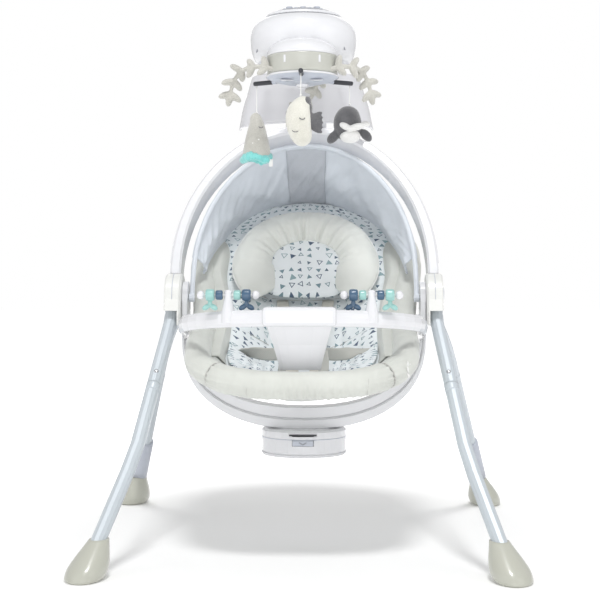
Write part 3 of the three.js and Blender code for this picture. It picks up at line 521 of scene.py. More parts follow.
def ball(name, centre, radii, turn=(0, 0, 0), segments=24, rings=16):
    """An ellipsoid."""
    bm = bmesh.new()
    bmesh.ops.create_uvsphere(bm, u_segments=segments, v_segments=rings, radius=1)
    rot, r = Euler(turn).to_matrix(), Vector(radii)
    for v in bm.verts:
        v.co = centre + rot @ Vector((v.co.x * r.x, v.co.y * r.y, v.co.z * r.z))
    return bmesh_object(name, bm)


def rounded_box(name, low, high, radius, segments=3):
    bm = bmesh.new()
    bmesh.ops.create_cube(bm, size=1)
    low, high = Vector(low), Vector(high)
    for v in bm.verts:
        v.co = Vector([lerp(low[i], high[i], v.co[i] + 0.5) for i in range(3)])
    bmesh.ops.bevel(bm, geom=list(bm.edges), offset=radius, segments=segments, profile=0.5, affect="EDGES")
    return bmesh_object(name, bm)


def apply_modifiers(obj):
    """Keeps the modified mesh, and shades it smooth."""
    bpy.context.view_layer.update()
    depsgraph = bpy.context.evaluated_depsgraph_get()
    mesh = bpy.data.meshes.new_from_object(obj.evaluated_get(depsgraph), depsgraph=depsgraph)
    old = obj.data
    obj.modifiers.clear()
    obj.data = mesh
    bpy.data.meshes.remove(old)
    for p in obj.data.polygons:
        p.use_smooth = True


def remesh(obj, voxel, smooth):
    mod = obj.modifiers.new("remesh", "REMESH")
    mod.mode, mod.voxel_size = "VOXEL", voxel
    mod = obj.modifiers.new("smooth", "SMOOTH")
    mod.iterations, mod.factor = smooth, 0.6
    apply_modifiers(obj)
    return obj


CLOTH_SETTINGS = {"quality": 6, "mass": 0.25, "use_pressure": True, "tension_stiffness": 18,
                  "compression_stiffness": 12, "shear_stiffness": 8, "bending_stiffness": 0.4}


def inflate(obj, voxel, pressure, cap, frames=20):
    """Swells a closed piece as cloth filled with air, capped, then subdivided once."""
    remesh(obj, voxel, 1)
    start = [v.co.copy() for v in obj.data.vertices]
    mod = obj.modifiers.new("cloth", "CLOTH")
    for key, value in CLOTH_SETTINGS.items():
        setattr(mod.settings, key, value)
    mod.settings.uniform_pressure_force = pressure
    mod.settings.effector_weights.gravity = 0
    mod.collision_settings.use_collision = False
    for f in range(1, frames + 1):
        bpy.context.scene.frame_set(f)
    swollen = obj.evaluated_get(bpy.context.evaluated_depsgraph_get())
    ends = [v.co.copy() for v in swollen.to_mesh().vertices]
    swollen.to_mesh_clear()
    obj.modifiers.clear()
    bpy.context.scene.frame_set(1)
    for v, a, b in zip(obj.data.vertices, start, ends):
        d = b - a
        if d.length > cap:
            d *= cap / d.length
        v.co = a + d
    mod = obj.modifiers.new("subdivision", "SUBSURF")
    mod.levels = mod.render_levels = 1
    apply_modifiers(obj)
    return obj


# ---------------------------------------------------------------- curves shared with the CAD
def catmull(points, t):
    """A centripetal Catmull-Rom curve through the points, t in 0..1."""
    n = len(points) - 1
    s = clamp(t) * n
    i = min(int(s), n - 1)
    w = s - i
    p1, p2 = points[i], points[i + 1]
    p0 = points[i - 1] if i > 0 else p1 * 2 - p2
    p3 = points[i + 2] if i + 2 <= n else p2 * 2 - p1
    d0, d1, d2 = [max((b - a).length ** 0.5, 1e-6) for a, b in ((p0, p1), (p1, p2), (p2, p3))]
    t1 = ((p1 - p0) / d0 - (p2 - p0) / (d0 + d1) + (p2 - p1) / d1) * d1
    t2 = ((p2 - p1) / d1 - (p3 - p1) / (d1 + d2) + (p3 - p2) / d2) * d1
    return p1 + t1 * w + (p2 * 3 - p1 * 3 - t1 * 2 - t2) * w * w + (p1 * 2 - p2 * 2 + t1 + t2) * w ** 3


RIM = [mm(x, y, z) for y, x, z in [
    (-282, 0, 315), (-279, 80, 317), (-262, 140, 327), (-218, 180, 346), (-155, 190, 366),
    (-80, 192.5, 388), (0, 192.5, 420), (80, 201, 468), (160, 213, 530), (222, 198, 592),
    (262, 160, 628), (285, 84, 646), (290, 0, 650)]]
SPINE = [mm(0, y, z) for y, z in [
    (-252, 312), (-190, 288), (-110, 277), (-30, 284), (40, 336), (105, 415), (165, 495), (218, 568),
    (258, 622)]]
EDGE = [mm(x, y, z) for y, x, z in [
    (-238, 108, 318), (-205, 140, 340), (-140, 158, 362), (-65, 162, 386), (5, 162, 420),
    (75, 170, 464), (140, 180, 514), (200, 166, 572), (242, 136, 609)]]


def seat_point(w, v):
    """The seat's inner surface: w across from -1 to 1, v from the front (-1) to the head (1)."""
    t = (v + 1) / 2
    low, high = catmull(SPINE, t), catmull(EDGE, t)
    rise = abs(w) ** 2.2
    return Vector((w * high.x, lerp(low.y, high.y, rise), lerp(low.z, high.z, rise)))


def seat_normal(w, v):
    h = 0.01
    across = seat_point(w + h, v) - seat_point(w - h, v)
    along = seat_point(w, min(v + h, 1)) - seat_point(w, max(v - h, -1))
    return across.cross(along).normalized()


def on_seat(w, v, height):
    """A point at a height above the seat's inner surface."""
    return seat_point(w, v) + seat_normal(w, v) * height


# ---------------------------------------------------------------- frame and legs
CAD_FINISH = {
    "hub_housing_": CREAM, "leg_release_button_": WHITE, "swing_drive_motor": STEEL, "arch_": WHITE,
    "neck_arm": WHITE, "neck_bell": BELL, "head_lower_shell": WHITE, "head_upper_shell": WHITE,
    "control_panel": GREY, "power_button": DARK, "swing_speed_button": DARK, "music_button": DARK,
    "mobile_ring": RING, "mobile_motor": STEEL, "mobile_rotor": PALE_GREY, "toy_": PLUSH_CREAM,
    "yoke_shell": WHITE, "yoke_cover": WHITE, "drum_cup": WHITE, "drum_latch": PALE_GREY,
    "battery_pack": DARK, "pivot_shaft_": STEEL, "seat_frame_tube": STEEL, "rim_roll_": SATIN_SHADED,
    "seat_sling": SHELL_CLOTH, "seat_pad": PRINT, "head_pillow": SATIN_SHADED, "shoulder_strap_": WEB,
    "harness_buckle": WHITE, "buckle_button": GREY, "canopy_bow": CANOPY, "canopy_fabric": CANOPY,
    "tray_bar": WHITE, "bead_spinner_": MINT, "front_leg_": TUBE, "rear_leg_": TUBE}


def paint_cad():
    for name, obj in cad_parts.items():
        finish = next((m for start, m in CAD_FINISH.items() if name.startswith(start)), WHITE)
        for slot in obj.material_slots:
            slot.link = "OBJECT"
            slot.material = finish


def leg_point(end, side, z):
    """The middle of a leg's tube at a height in mm."""
    drop = max(0.0, 425 - z)
    if end == "front":
        x = 255 + max(0, 420 - z) * 0.165 + max(0, 190 - z) * 0.17
    else:
        x = 255 + drop * 0.305 + min(drop, 60) * 0.19
    y = 30 + (432 - z) * 0.887
    return mm(side * x, y if end == "rear" else -y, z)


def ring_stack(name, levels, sides=40):
    """A smooth closed body through (z, half width, half depth, x, y) rings in mm."""
    keys = [Vector(a[:3]) for a in levels]
    mids = [Vector((a[3], a[4], 0)) for a in levels]
    count, verts = 5 * (len(levels) - 1), []
    for i in range(count + 1):
        key, mid = catmull(keys, i / count), catmull(mids, i / count)
        for k in range(sides):
            a = TURN * k / sides
            verts.append(mm(mid.x + key.y * math.cos(a), mid.y + key.z * math.sin(a), key.x))
    return loft(name, verts, sides)


# height, half width and half depth of a shoe's rings
SHOE_RINGS = ((0, 28, 42), (3, 32.5, 47), (9, 34, 48.5), (18, 34, 48), (34, 29, 40), (50, 22, 30),
              (62, 17, 21.5))


def make_shoe(end, side, word):
    foot = leg_point(end, 1, 24).x
    lean = (foot - leg_point(end, 1, 80).x) / 0.056
    levels = []
    for z, rx, ry in SHOE_RINGS:
        x = foot / MM + (24 - z) * lean
        y = 30 + (432 - z) * 0.887 - (64 - z) * 0.4
        levels.append((z, rx, ry, side * x, y if end == "rear" else -y))
    shoe = ring_stack(f"{end}_shoe_{word}", levels)
    place(shoe, SHOE, f"{end}_leg_{word}", "shoe_plastic", f"{end}_leg_shoe_{word}")


def make_leg(end, side, word):
    body = f"{end}_leg_{word}"
    make_shoe(end, side, word)
    a, b = leg_point(end, side, 306), leg_point(end, side, 293)
    ring = tube(f"{end}_leg_joint_{word}", [lerp(a, b, t / 4) for t in range(5)], 0.01305, 32)
    place(ring, TUBE, body, "leg_tube")
    spot = leg_point(end, side, 322)
    along = (leg_point(end, side, 300) - spot).normalized()
    out = Vector((0, -1 if end == "front" else 1, 0))
    out = (out - along * out.dot(along)).normalized()
    screw = ball(f"{end}_leg_screw_{word}", spot + out * 0.0126, (0.0042, 0.0042, 0.002),
                 out.to_track_quat("Z", "Y").to_euler(), 20, 10)
    place(screw, STEEL, body, "steel")
    if end == "rear":
        path = [leg_point(end, side, z) for z in (152, 149, 120, 90, 66)]
        sleeve = tube(f"rear_leg_sleeve_{word}", path, lambda t, ang: 0.0168 - 0.0016 * (t < 0.01), 32)
        place(sleeve, PALE_GREY, body, "leg_tube")


def make_leg_details():
    for end in ("front", "rear"):
        for side, word in SIDES:
            make_leg(end, side, word)


def make_hub_details():
    for side, word in SIDES:
        dish = lathe(f"hub_button_face_{word}", [
            (0, 271.4), (9, 271.2), (11, 271.9), (13.2, 271.0), (13.2, 269.4), (0, 269.4)],
            40, (0, 0, SWING_Z), "x")
        if side < 0:
            dish.data.transform(Matrix.Scale(-1, 4, (1, 0, 0)))
            fix_normals(dish)
        place(dish, PALE_GREY, f"leg_release_{word}", "white_plastic")
        # a thin parting line round the dome
        arc = [math.pi * i / 24 for i in range(25)]
        pts = [mm(side * 252.5, 50.3 * math.cos(a), 462 + 50.3 * math.sin(a)) for a in arc]
        line = tube(f"hub_parting_line_{word}", pts, 0.0006, 8)
        place(line, PALE_GREY, "frame", "cream_plastic")


def lean_point(x, t, depth=0.0):
    """A point of the arch's leaning plane, in mm: t up the plane, depth out of its back."""
    return Vector((x * MM, (t * math.sin(LEAN) + depth * math.cos(LEAN)) * MM,
                   ARCH_Z + (t * math.cos(LEAN) - depth * math.sin(LEAN)) * MM))


def make_arch_details():
    # a raised rib runs along each edge of the band's outer face
    for word, angles in (("crown", (40, 140)), ("right", (2, 38)), ("left", (142, 178))):
        for depth in (-19, 19):
            arc = [math.radians(lerp(*angles, i / 30)) for i in range(31)]
            pts = [lean_point(262.2 * math.cos(a), 60 + 327.2 * math.sin(a), depth) for a in arc]
            rib = tube(f"arch_rib_{word}_{'front' if depth < 0 else 'back'}", pts, 0.0011, 8)
            place(rib, WHITE, "frame", "white_plastic")


# ---------------------------------------------------------------- head and mobile
def make_head():
    c = mm(0, HEAD_Y, 0)
    face = lathe("head_face", [
        (0, 913.8), (84, 913.8), (88, 914.6), (92.5, 918), (95.6, 924), (98, 931), (99.8, 939),
        (101, 949), (101.5, 957), (101.2, 965), (100.0, 972), (97.4, 979), (93.0, 985.4), (87.0, 990.6),
        (80.0, 995.2), (74.4, 997.8), (66, 998.2), (64, 997), (64, 990), (0, 990)], 128, c)
    place(face, WHITE, "frame", "white_plastic", "head_lower_shell", "head_upper_shell")
    turret = lathe("head_turret", [
        (0, 913.8), (66, 913.8), (66.4, 917), (64.5, 923), (60, 930), (53, 936.5), (43, 942),
        (30, 945.6), (15, 947.4), (0, 948)], 72, mm(0, MOBILE_Y, 0))
    place(turret, WHITE, "frame", "white_plastic")
    for word, x, z, lean in (("left", -86, 931, 0.35), ("right", 78, 933, -0.35)):
        y = HEAD_Y - math.sqrt(98.4 ** 2 - x * x)
        slot = ball(f"head_slot_{word}", mm(x, y, z), mm(1.5, 1.4, 4.6), (0, lean, 0), 20, 12)
        place(slot, GREY, "frame", "dark_plastic")
    # on the panel: a raised rim, small keys and the caps of the three buttons
    rim = lathe("panel_rim", [
        (68.5, 1003.4), (71.5, 1000.6), (73.4, 998.6), (73.6, 1000.6), (71.6, 1003.6), (69.4, 1005),
        (68.5, 1003.4)], 96, c)
    place(rim, WHITE, "frame", "white_plastic")
    for i, (x, y) in enumerate(((-13, -52), (0, -54), (13, -52), (-34, -40), (34, -40))):
        r = math.hypot(x, y)
        z = 1010 - (r - 56) * 0.5 if r > 56 else 1015 - (r - 36) * 0.25
        key = ball(f"panel_key_{i + 1}", mm(x, HEAD_Y + y, z), mm(3.6, 2.6, 1.1), (0.4, 0, 0), 20, 10)
        place(key, PALE_GREY, "frame", "dark_plastic")
    for n, x in (("power_button", -26), ("swing_speed_button", 0), ("music_button", 26)):
        cap = lathe(f"{n}_cap", [
            (0, 1009), (6.4, 1009), (6.4, 1016.6), (5.8, 1017.4), (3.4, 1017.9), (0, 1017.6)],
            40, mm(x, HEAD_Y - 26, 0))
        place(cap, PALE_GREY, n, "dark_plastic", n)


BELL_RINGS = [Vector(k) for k in (
    (812, 139, 175), (831, 135.5, 174), (850, 132, 173), (866, 127.4, 168.3), (880, 122, 162),
    (892, 118, 153.6), (903, 114, 144), (911, 111, 137))]


def make_bell():
    """The flared half skirt behind the mobile, smooth and with a rolled lower edge."""
    def surface(u, v, h):
        ring = catmull(BELL_RINGS, v)
        reach = math.acos(clamp((ring.z - 177) / ring.y, -1, 1))
        a = lerp(-reach, reach, u)
        r = ring.y - 1.5 + h * 1000
        return mm(r * math.sin(a), ring.z - r * math.cos(a), ring.x)

    bell = slab_surface("neck_bell_face", surface, 160, 28, 0.0034)
    place(bell, BELL, "frame", "white_plastic", "neck_bell")
    pts = [surface(i / 160, 0, 0) for i in range(161)]
    place(tube("neck_bell_lip", pts, 0.0021, 12), BELL, "frame", "white_plastic")


def make_mobile():
    c = mm(0, MOBILE_Y, 0)
    ring = lathe("mobile_ring_face", [
        (61.6, 879.6), (63, 878.9), (64.6, 879.2), (65.4, 880.6), (65.6, 884), (65.2, 886), (65.5, 889),
        (65.5, 908), (66.4, 910), (66.4, 913), (65, 913.6), (62, 913.4), (61.6, 900), (61.6, 879.6)], 96, c)
    place(ring, RING, "frame", "cream_plastic", "mobile_ring")
    # white strips on the ring stand for its reflection lines: painted highlights, clear of the twigs that turn
    # below them
    for k, angle in enumerate((-118, -60)):
        a = math.radians(angle)
        p = mm(65.6 * math.cos(a), MOBILE_Y + 65.6 * math.sin(a), 901.8)
        corner = Vector((0.0022, 0.0009, 0.0068))
        mark = rounded_box(f"ring_highlight_strip_{k + 1}", -corner, corner, 0.0008, 2)
        mark.data.transform(Matrix.Translation(p) @ Matrix.Rotation(a + math.pi / 2, 4, "Z"))
        place(mark, WHITE, "frame", "white_plastic")
    # windows on the underside of the rotor's dish
    for k, x in enumerate((-27, 27)):
        y = MOBILE_Y - 39
        rim = ball(f"rotor_window_rim_{k + 1}", mm(x, y, 865.6), mm(12.5, 9, 1.8), (0.32, 0, 0), 28, 12)
        place(rim, WHITE, "mobile_rotor", "white_plastic")
        pane = ball(f"rotor_window_{k + 1}", mm(x, y - 0.5, 864.6), mm(9.2, 6.2, 1.6), (0.32, 0, 0), 28, 12)
        place(pane, WINDOW, "mobile_rotor", "dark_plastic")
    lip = lathe("rotor_lip", [
        (66, 875.6), (67.4, 874.6), (68.2, 876.2), (67.6, 878.4), (66, 878.5), (66, 875.6)], 96, c)
    place(lip, WHITE, "mobile_rotor", "white_plastic")
    knob = lathe("rotor_knob", [(0, 857.6), (8, 858), (11, 860), (12, 863.2), (0, 864)], 40, c)
    place(knob, WHITE, "mobile_rotor", "white_plastic")
    for word, angle in (("front", -90), ("right", 30), ("left", 150)):
        a = math.radians(angle)
        d = Vector((math.cos(a), math.sin(a), 0))
        base = mm(0, MOBILE_Y, 872)
        sleeve = tube(f"rod_sleeve_{word}", [base + d * r * MM for r in (66, 68, 100, 106, 107.6)],
                      lambda t, ang: 0.0043 if t < 0.9 else 0.0038, 20)
        place(sleeve, DARK, "mobile_rotor", "dark_plastic")


def leaf_twig(name, route, count, size, seed):
    """A plush twig along (reach, height, sideways, angle) points, with pairs of long rounded leaves."""
    rng = random.Random(seed)
    pts = []
    for r, z, s, degrees in route:
        a = math.radians(degrees)
        x, y = r * math.cos(a) - s * math.sin(a), r * math.sin(a) + s * math.cos(a)
        pts.append(mm(x, y, z) + mm(0, MOBILE_Y, 0))
    parts = [tube("stem", [catmull(pts, i / 24) for i in range(25)], lambda t, ang: 0.0048 - 0.0012 * t, 14)]
    for i in range(count):
        t = 0.16 + 0.80 * i / (count - 1)
        p = catmull(pts, t)
        tangent = (catmull(pts, min(t + 0.03, 1)) - catmull(pts, t - 0.03)).normalized()
        side = tangent.cross(Vector((0, 1, 0))).normalized()
        front = side.cross(tangent)
        for k in (-1, 1):
            lean = tangent * rng.uniform(0.50, 0.75) + side * (k * rng.uniform(0.8, 1.0))
            lean = (lean + front * rng.uniform(-0.45, 0.45)).normalized()
            length = size * rng.uniform(0.88, 1.1)
            parts.append(ball("leaf", p + lean * (length * 0.8 * MM), mm(length, 0.52 * size, 0.48 * size),
                              lean.to_track_quat("X", "Z").to_euler(), 16, 12))
    tip = (pts[-1] - catmull(pts, 0.94)).normalized()
    parts.append(ball("leaf", pts[-1] + tip * (0.6 * size * MM), mm(size, 0.52 * size, 0.48 * size),
                      tip.to_track_quat("X", "Z").to_euler(), 16, 12))
    return remesh(join_objects(name, parts), 0.0018, 3)


STRING_TOP = 867.4
TWIGS = {
    "left": [
        (60, 884, 0, 215), (76, 890, 0, 205), (98, 891, 0, 195), (116, 883, 0, 187), (129, 865, 0, 182),
        (135, 842, 0, 180)],
    "right": [
        (60, 884, 0, -36), (76, 890, 0, -24), (97, 891, 0, -12), (112, 883, 0, -4), (123, 865, 0, 2),
        (128, 845, 0, 4)],
    "back": [
        (58, 884, 0, 62), (72, 880, 0, 68), (84, 868, 0, 74), (88, 852, 0, 80), (86, 838, 0, 88),
        (82, 828, 0, 96)],
}


def make_toys():
    for k, (word, route) in enumerate(TWIGS.items()):
        twig = leaf_twig(f"leaf_twig_{word}", route, 4 if word == "back" else 5, 13.2, 5 + k)
        place(twig, PLUSH_CREAM, "mobile_rotor", "plush")
    # each string's place, and the height of the toy's top
    tips = {"left": (-88.3, -64.0, 816), "front": (0.0, -217.0, 827), "right": (88.3, -64.0, 831)}
    for word, (x, y, top) in tips.items():
        pts = [mm(x, y, lerp(STRING_TOP, top + 0.6, i / 8)) for i in range(9)]
        cord = tube(f"string_{word}", pts, 0.0009, 10)
        place(cord, PIPING, f"toy_{word}", "strap_web", f"toy_string_{word}")
        loop = ball(f"string_knot_{word}", mm(x, y, top + 1.5), mm(2.2, 2.2, 2.2), segments=14, rings=10)
        place(loop, PIPING, f"toy_{word}", "strap_web")
    make_left_toy(*tips["left"][:2])
    make_front_toy(*tips["front"][:2])
    make_right_toy(*tips["right"][:2])


def plush_piece(name, parts, voxel, mat, body, *nodes):
    """One soft piece from overlapping parts."""
    piece = remesh(join_objects(name, parts), voxel, 4)
    place(piece, mat, body, "plush_grey" if mat is PLUSH_GREY else "plush", *nodes)


def make_left_toy(x, y):
    """A soft cone with a fluffy ruffled hem, a closed eye and a small label."""
    levels = [(729, 26, 21), (738, 26.5, 21.5), (752, 25, 20.5), (770, 21, 18), (788, 16.5, 15),
              (803, 11.5, 11), (812, 7, 7), (816, 2.5, 2.5)]
    cone = ring_stack("cone", [(z, rx, ry, x, y) for z, rx, ry in levels])
    fold = ball("tip", mm(x - 4, y, 806), mm(9, 8, 12), (0, 0.4, 0))
    plush_piece("toy_cone_body", [cone, fold], 0.0022, PLUSH_CREAM, "toy_left", "toy_left")
    rng = random.Random(3)
    tufts = []
    for i in range(20):
        a = TURN * i / 20
        r = 25.0 + rng.uniform(-1, 1.5)
        z = 730 + 3.0 * math.sin(3 * a + 1)
        tufts.append(ball("tuft", mm(x + r * math.cos(a), y + r * 0.8 * math.sin(a), z),
                          mm(6.6, 6.0, 8.5 + rng.uniform(-1.5, 1.5)),
                          (rng.uniform(-0.4, 0.4), rng.uniform(-0.4, 0.4), a), 12, 8))
    tufts.append(ball("tuft", mm(x + 20, y - 16, 727), mm(6, 5, 7)))
    plush_piece("toy_cone_hem", tufts, 0.0018, PLUSH_TEAL, "toy_left")
    pts = [mm(x + 9 + 4.0 * math.cos(t), y - 16.6 - 0.9 * math.sin(t), 789 + 2.6 * math.sin(t))
           for t in [math.pi + math.pi * i / 10 for i in range(11)]]
    place(tube("toy_cone_eye", pts, 0.0007, 8), THREAD, "toy_left", "dark_plastic")
    tag = rounded_box("toy_cone_tag", mm(x + 24, y - 15, 713), mm(x + 31.5, y - 14.2, 727), 0.0003, 1)
    place(tag, PIPING, "toy_left", "strap_web")
    for i, (dx, z) in enumerate(((-6, 757), (5, 764), (12, 752))):
        dot = ball(f"toy_cone_dot_{i + 1}", mm(x + dx, y - 19.6 + 0.03 * dx * dx, z), mm(1.6, 0.9, 1.6),
                   segments=12, rings=8)
        place(dot, PLUSH_WHITE, "toy_left", "plush")


def make_front_toy(x, y):
    """A long soft animal's head, side on, with dark ears and a dark back."""
    # height, half width, half depth and shift of each ring
    levels = [(737, 4, 4, 2), (739, 9, 8, 2), (745, 15.5, 12.5, 2), (755, 20, 15.5, 0), (770, 22.5, 17, -3),
              (788, 23, 17.5, -4.5),
              (803, 21, 16.5, -3.5), (815, 16.5, 13.5, -0.5), (823, 10, 8.5, 3), (826.5, 4, 4, 4)]
    parts = [ring_stack("face", [(z, rx, ry, x + dx, y) for z, rx, ry, dx in levels], 36)]
    plush_piece("toy_head_body", parts, 0.0022, PLUSH_FACE, "toy_front", "toy_front")
    back = [
        ball("mane", mm(x + 9, y + 1, 815), mm(9, 12, 12), (0, 0.5, 0)),
        ball("mane", mm(x + 15, y + 3, 800), mm(5.5, 10, 15), (0, 0.15, 0)),
        ball("ear", mm(x + 20, y - 2, 790), mm(5, 4.5, 8), (0, 0.9, 0)),
    ]
    back += [ball("ear", mm(x + 27, y - 3, 779 + 6.0 * k), mm(14, 3.6, 5.6), (0, -0.26 * k, 0), 16, 12)
             for k in (-2, -1, 0, 1, 2)]
    plush_piece("toy_head_ears", back, 0.002, PLUSH_GREY, "toy_front")
    small = [ball("ear", mm(x - 23, y + 1, 797), mm(4.5, 4, 7.5), (0, 0.35, 0))]
    plush_piece("toy_head_ear_far", small, 0.002, PLUSH_GREY, "toy_front")
    eye = [mm(x + 3 + 4.6 * math.cos(t), y - 17.2 + 1.6 * math.cos(t), 786 + 3.0 * math.sin(t))
           for t in [math.pi + math.pi * i / 10 for i in range(11)]]
    place(tube("toy_head_eye", eye, 0.0008, 8), THREAD, "toy_front", "dark_plastic")
    smile = [mm(x - 9 + 6 * math.cos(t), y - 16.2 - 0.8 * math.cos(t), 765 + 4.2 * math.sin(t))
             for t in [math.pi * 1.1 + math.pi * 0.7 * i / 10 for i in range(11)]]
    place(tube("toy_head_smile", smile, 0.0007, 8), THREAD, "toy_front", "dark_plastic")


def make_right_toy(x, y):
    """A round dark animal with a pale belly, white arms in front and dark fins."""
    parts = [ball("body", mm(x - 4, y, 795), mm(27, 21, 34)),
             ball("head", mm(x - 3, y - 1, 808), mm(23, 19, 21))]
    parts += [ball("fin", mm(x - 31, y - 3, 770), mm(16, 6.5, 9.5), (0, -0.85, 0)),
              ball("fin", mm(x + 31, y - 3, 773), mm(15, 6.5, 9), (0, 0.85, 0))]
    plush_piece("toy_round_body", parts, 0.0022, PLUSH_GREY, "toy_right", "toy_right")
    belly = [ball("belly", mm(x + 1, y - 7.5, 771), mm(20, 15.5, 13.5))]
    plush_piece("toy_round_belly", belly, 0.002, PLUSH_WHITE, "toy_right")
    arms = [
        ball("arm", mm(x - 8, y - 19, 788), mm(13, 6.5, 6.5), (0, 0.45, 0.1)),
        ball("arm", mm(x + 13, y - 20, 787), mm(17, 6.5, 7), (0, -0.25, -0.08)),
        ball("arm", mm(x + 30, y - 17, 793), mm(9.5, 5.6, 5.6), (0, 0.1, 0)),
        ball("knot", mm(x + 1, y - 20, 783), mm(7, 6, 6)),
    ]
    plush_piece("toy_round_arms", arms, 0.0018, PLUSH_WHITE, "toy_right")


# ---------------------------------------------------------------- soft seat
def seat_beyond(w, v, height=0.0):
    """The seat's surface carried straight on past both of its ends, and raised by a height."""
    inner, side = clamp(v, -1, 1), clamp(w, -1, 1)
    p = seat_point(side, inner)
    if v != inner:
        step = 0.04 if inner > 0 else -0.04
        p += (p - seat_point(side, inner - step)) * ((v - inner) / step)
    p.x *= w / side if abs(w) > 1 else 1
    return p + seat_normal(side, clamp(v, -0.98, 0.98)) * height


def ripple(obj, depth):
    """Moves each point along its normal by depth(point, normal)."""
    normals = [v.normal.copy() for v in obj.data.vertices]
    moves = [depth(v.co, n) for v, n in zip(obj.data.vertices, normals)]
    for v, n, d in zip(obj.data.vertices, normals, moves):
        v.co += n * d
    return obj


def fold_noise(p, scale, stretch=(1, 1, 1)):
    """Noise squeezed along one direction, for creases that run across it."""
    q = Vector((p.x * stretch[0], p.y * stretch[1], p.z * stretch[2])) * scale
    return noise.noise(q)


def make_sling():
    def surface(u, v, h):
        w = lerp(-1.13, 1.13, u)
        return seat_beyond(w, lerp(-1.04, 1.16, v), h - 2.5 * MM)

    sling = slab_surface("seat_shell_cloth", surface, 60, 110, 0.004)
    ripple(sling, lambda p, n: 0.0012 * fold_noise(p, 28))
    place(sling, SHELL_CLOTH, SEAT, "satin_cloth", "seat_sling")


def make_pad():
    channels = ((-0.62, 0.05), (-0.30, 0.05), (0.05, 0.05), (0.36, 0.05))
    low, high = -0.96, 1.19

    def half_width(v):
        flare = clamp((v - 0.60) / 0.36)
        return lerp(0.91, 1.26, flare * flare * (3 - 2 * flare)) - 0.30 * clamp((v - 1.0) / 0.19) ** 2

    def top(u, v):
        w, along = 2 * u - 1, lerp(low, high, v)
        edge = min(1.0, (1 - abs(w)) * 7) * min(1.0, (1 - abs(2 * v - 1)) * 12)
        height = 5 + 10 * math.sqrt(clamp(edge))
        for at, half in channels:
            height -= 4.2 * bump_at(along, at, half)
        return height - 3.2 * bump_at(abs(w), 0.52, 0.07)

    def surface(u, v, h):
        along = lerp(low, high, v)
        w = half_width(along)
        base = 2.2 if h < 0 else top(u, v)
        return seat_beyond(lerp(-w, w, u), along, base * MM)

    pad = slab_surface("seat_pad_print", surface, 96, 170, 1.0, (0.29, 0.66))
    ripple(pad, lambda p, n: 0.0014 * fold_noise(p, 30))
    place(pad, PRINT, SEAT, "print_cloth", "seat_pad")
    for at, _ in channels:
        pts = [seat_beyond(lerp(-0.8, 0.8, i / 40), at,
                           (top(lerp(0.035, 0.965, i / 40), (at - low) / (high - low)) + 0.1) * MM)
               for i in range(41)]
        place(tube(f"pad_stitch_{round((at + 1) * 100)}", pts, 0.0006, 6), SEAM, SEAT, "print_cloth")
    for side, word in SIDES:
        # a loose printed wing on each side of the crotch strap, folded over the lap webbing
        def wing(u, v, h):
            w, along = side * lerp(0.24, 0.93, u), lerp(-0.84, -0.22, v)
            hill = max(0.0, math.sin(math.pi * u)) ** 0.7 * max(0.0, math.sin(math.pi * v)) ** 0.6
            folds = 4.2 * math.sin(9 * u + 8 * v) + 2.0 * math.sin(19 * u - 11 * v)
            height = 12 if h < 0 else 14 + hill * (24 + 1.6 * folds)
            return seat_beyond(w, along, height * MM)

        piece = slab_surface(f"lap_wing_{word}", wing, 48, 60, 1.0, (0.11, 0.19))
        place(piece, PRINT, SEAT, "print_cloth")
        pts = [wing(0.02 + 0.03 * math.sin(6 * i / 50), i / 50, 1) + mm(0, 0, 0.5) for i in range(51)]
        place(tube(f"lap_wing_piping_{word}", pts, 0.0018, 8), MINT_CLOTH, SEAT, "print_cloth")


def make_bolsters():
    """The padded sides of the seat, between the printed pad and the rim's roll."""
    for side, word in SIDES:
        def bolster(u, v, h):
            w, along = side * lerp(0.90, 1.17, u), lerp(-0.55, 0.80, v)
            hill = max(0.0, math.sin(math.pi * u)) ** 0.6 * max(0.0, math.sin(math.pi * v)) ** 0.4
            height = 1.5 if h < 0 else 2.5 + 15 * hill
            return seat_beyond(w, along, height * MM)

        piece = slab_surface(f"side_bolster_{word}", bolster, 36, 120, 1.0, (0.1, 0.4))
        ripple(piece, lambda p, n: 0.0012 * fold_noise(p, 22))
        place(piece, SATIN_SHADED, SEAT, "satin_cloth")


def rim_at(t, side=1):
    """A point of the seat's rim, from the front (0) to the head (1)."""
    p = catmull(RIM, t)
    return Vector((side * p.x, p.y, p.z))


SEAM_T = 0.185


def roll_radius(t):
    return lerp(24.6, 8.5, 0.5 - 0.5 * math.cos(math.pi * clamp((t - 0.70) / 0.10))) * MM


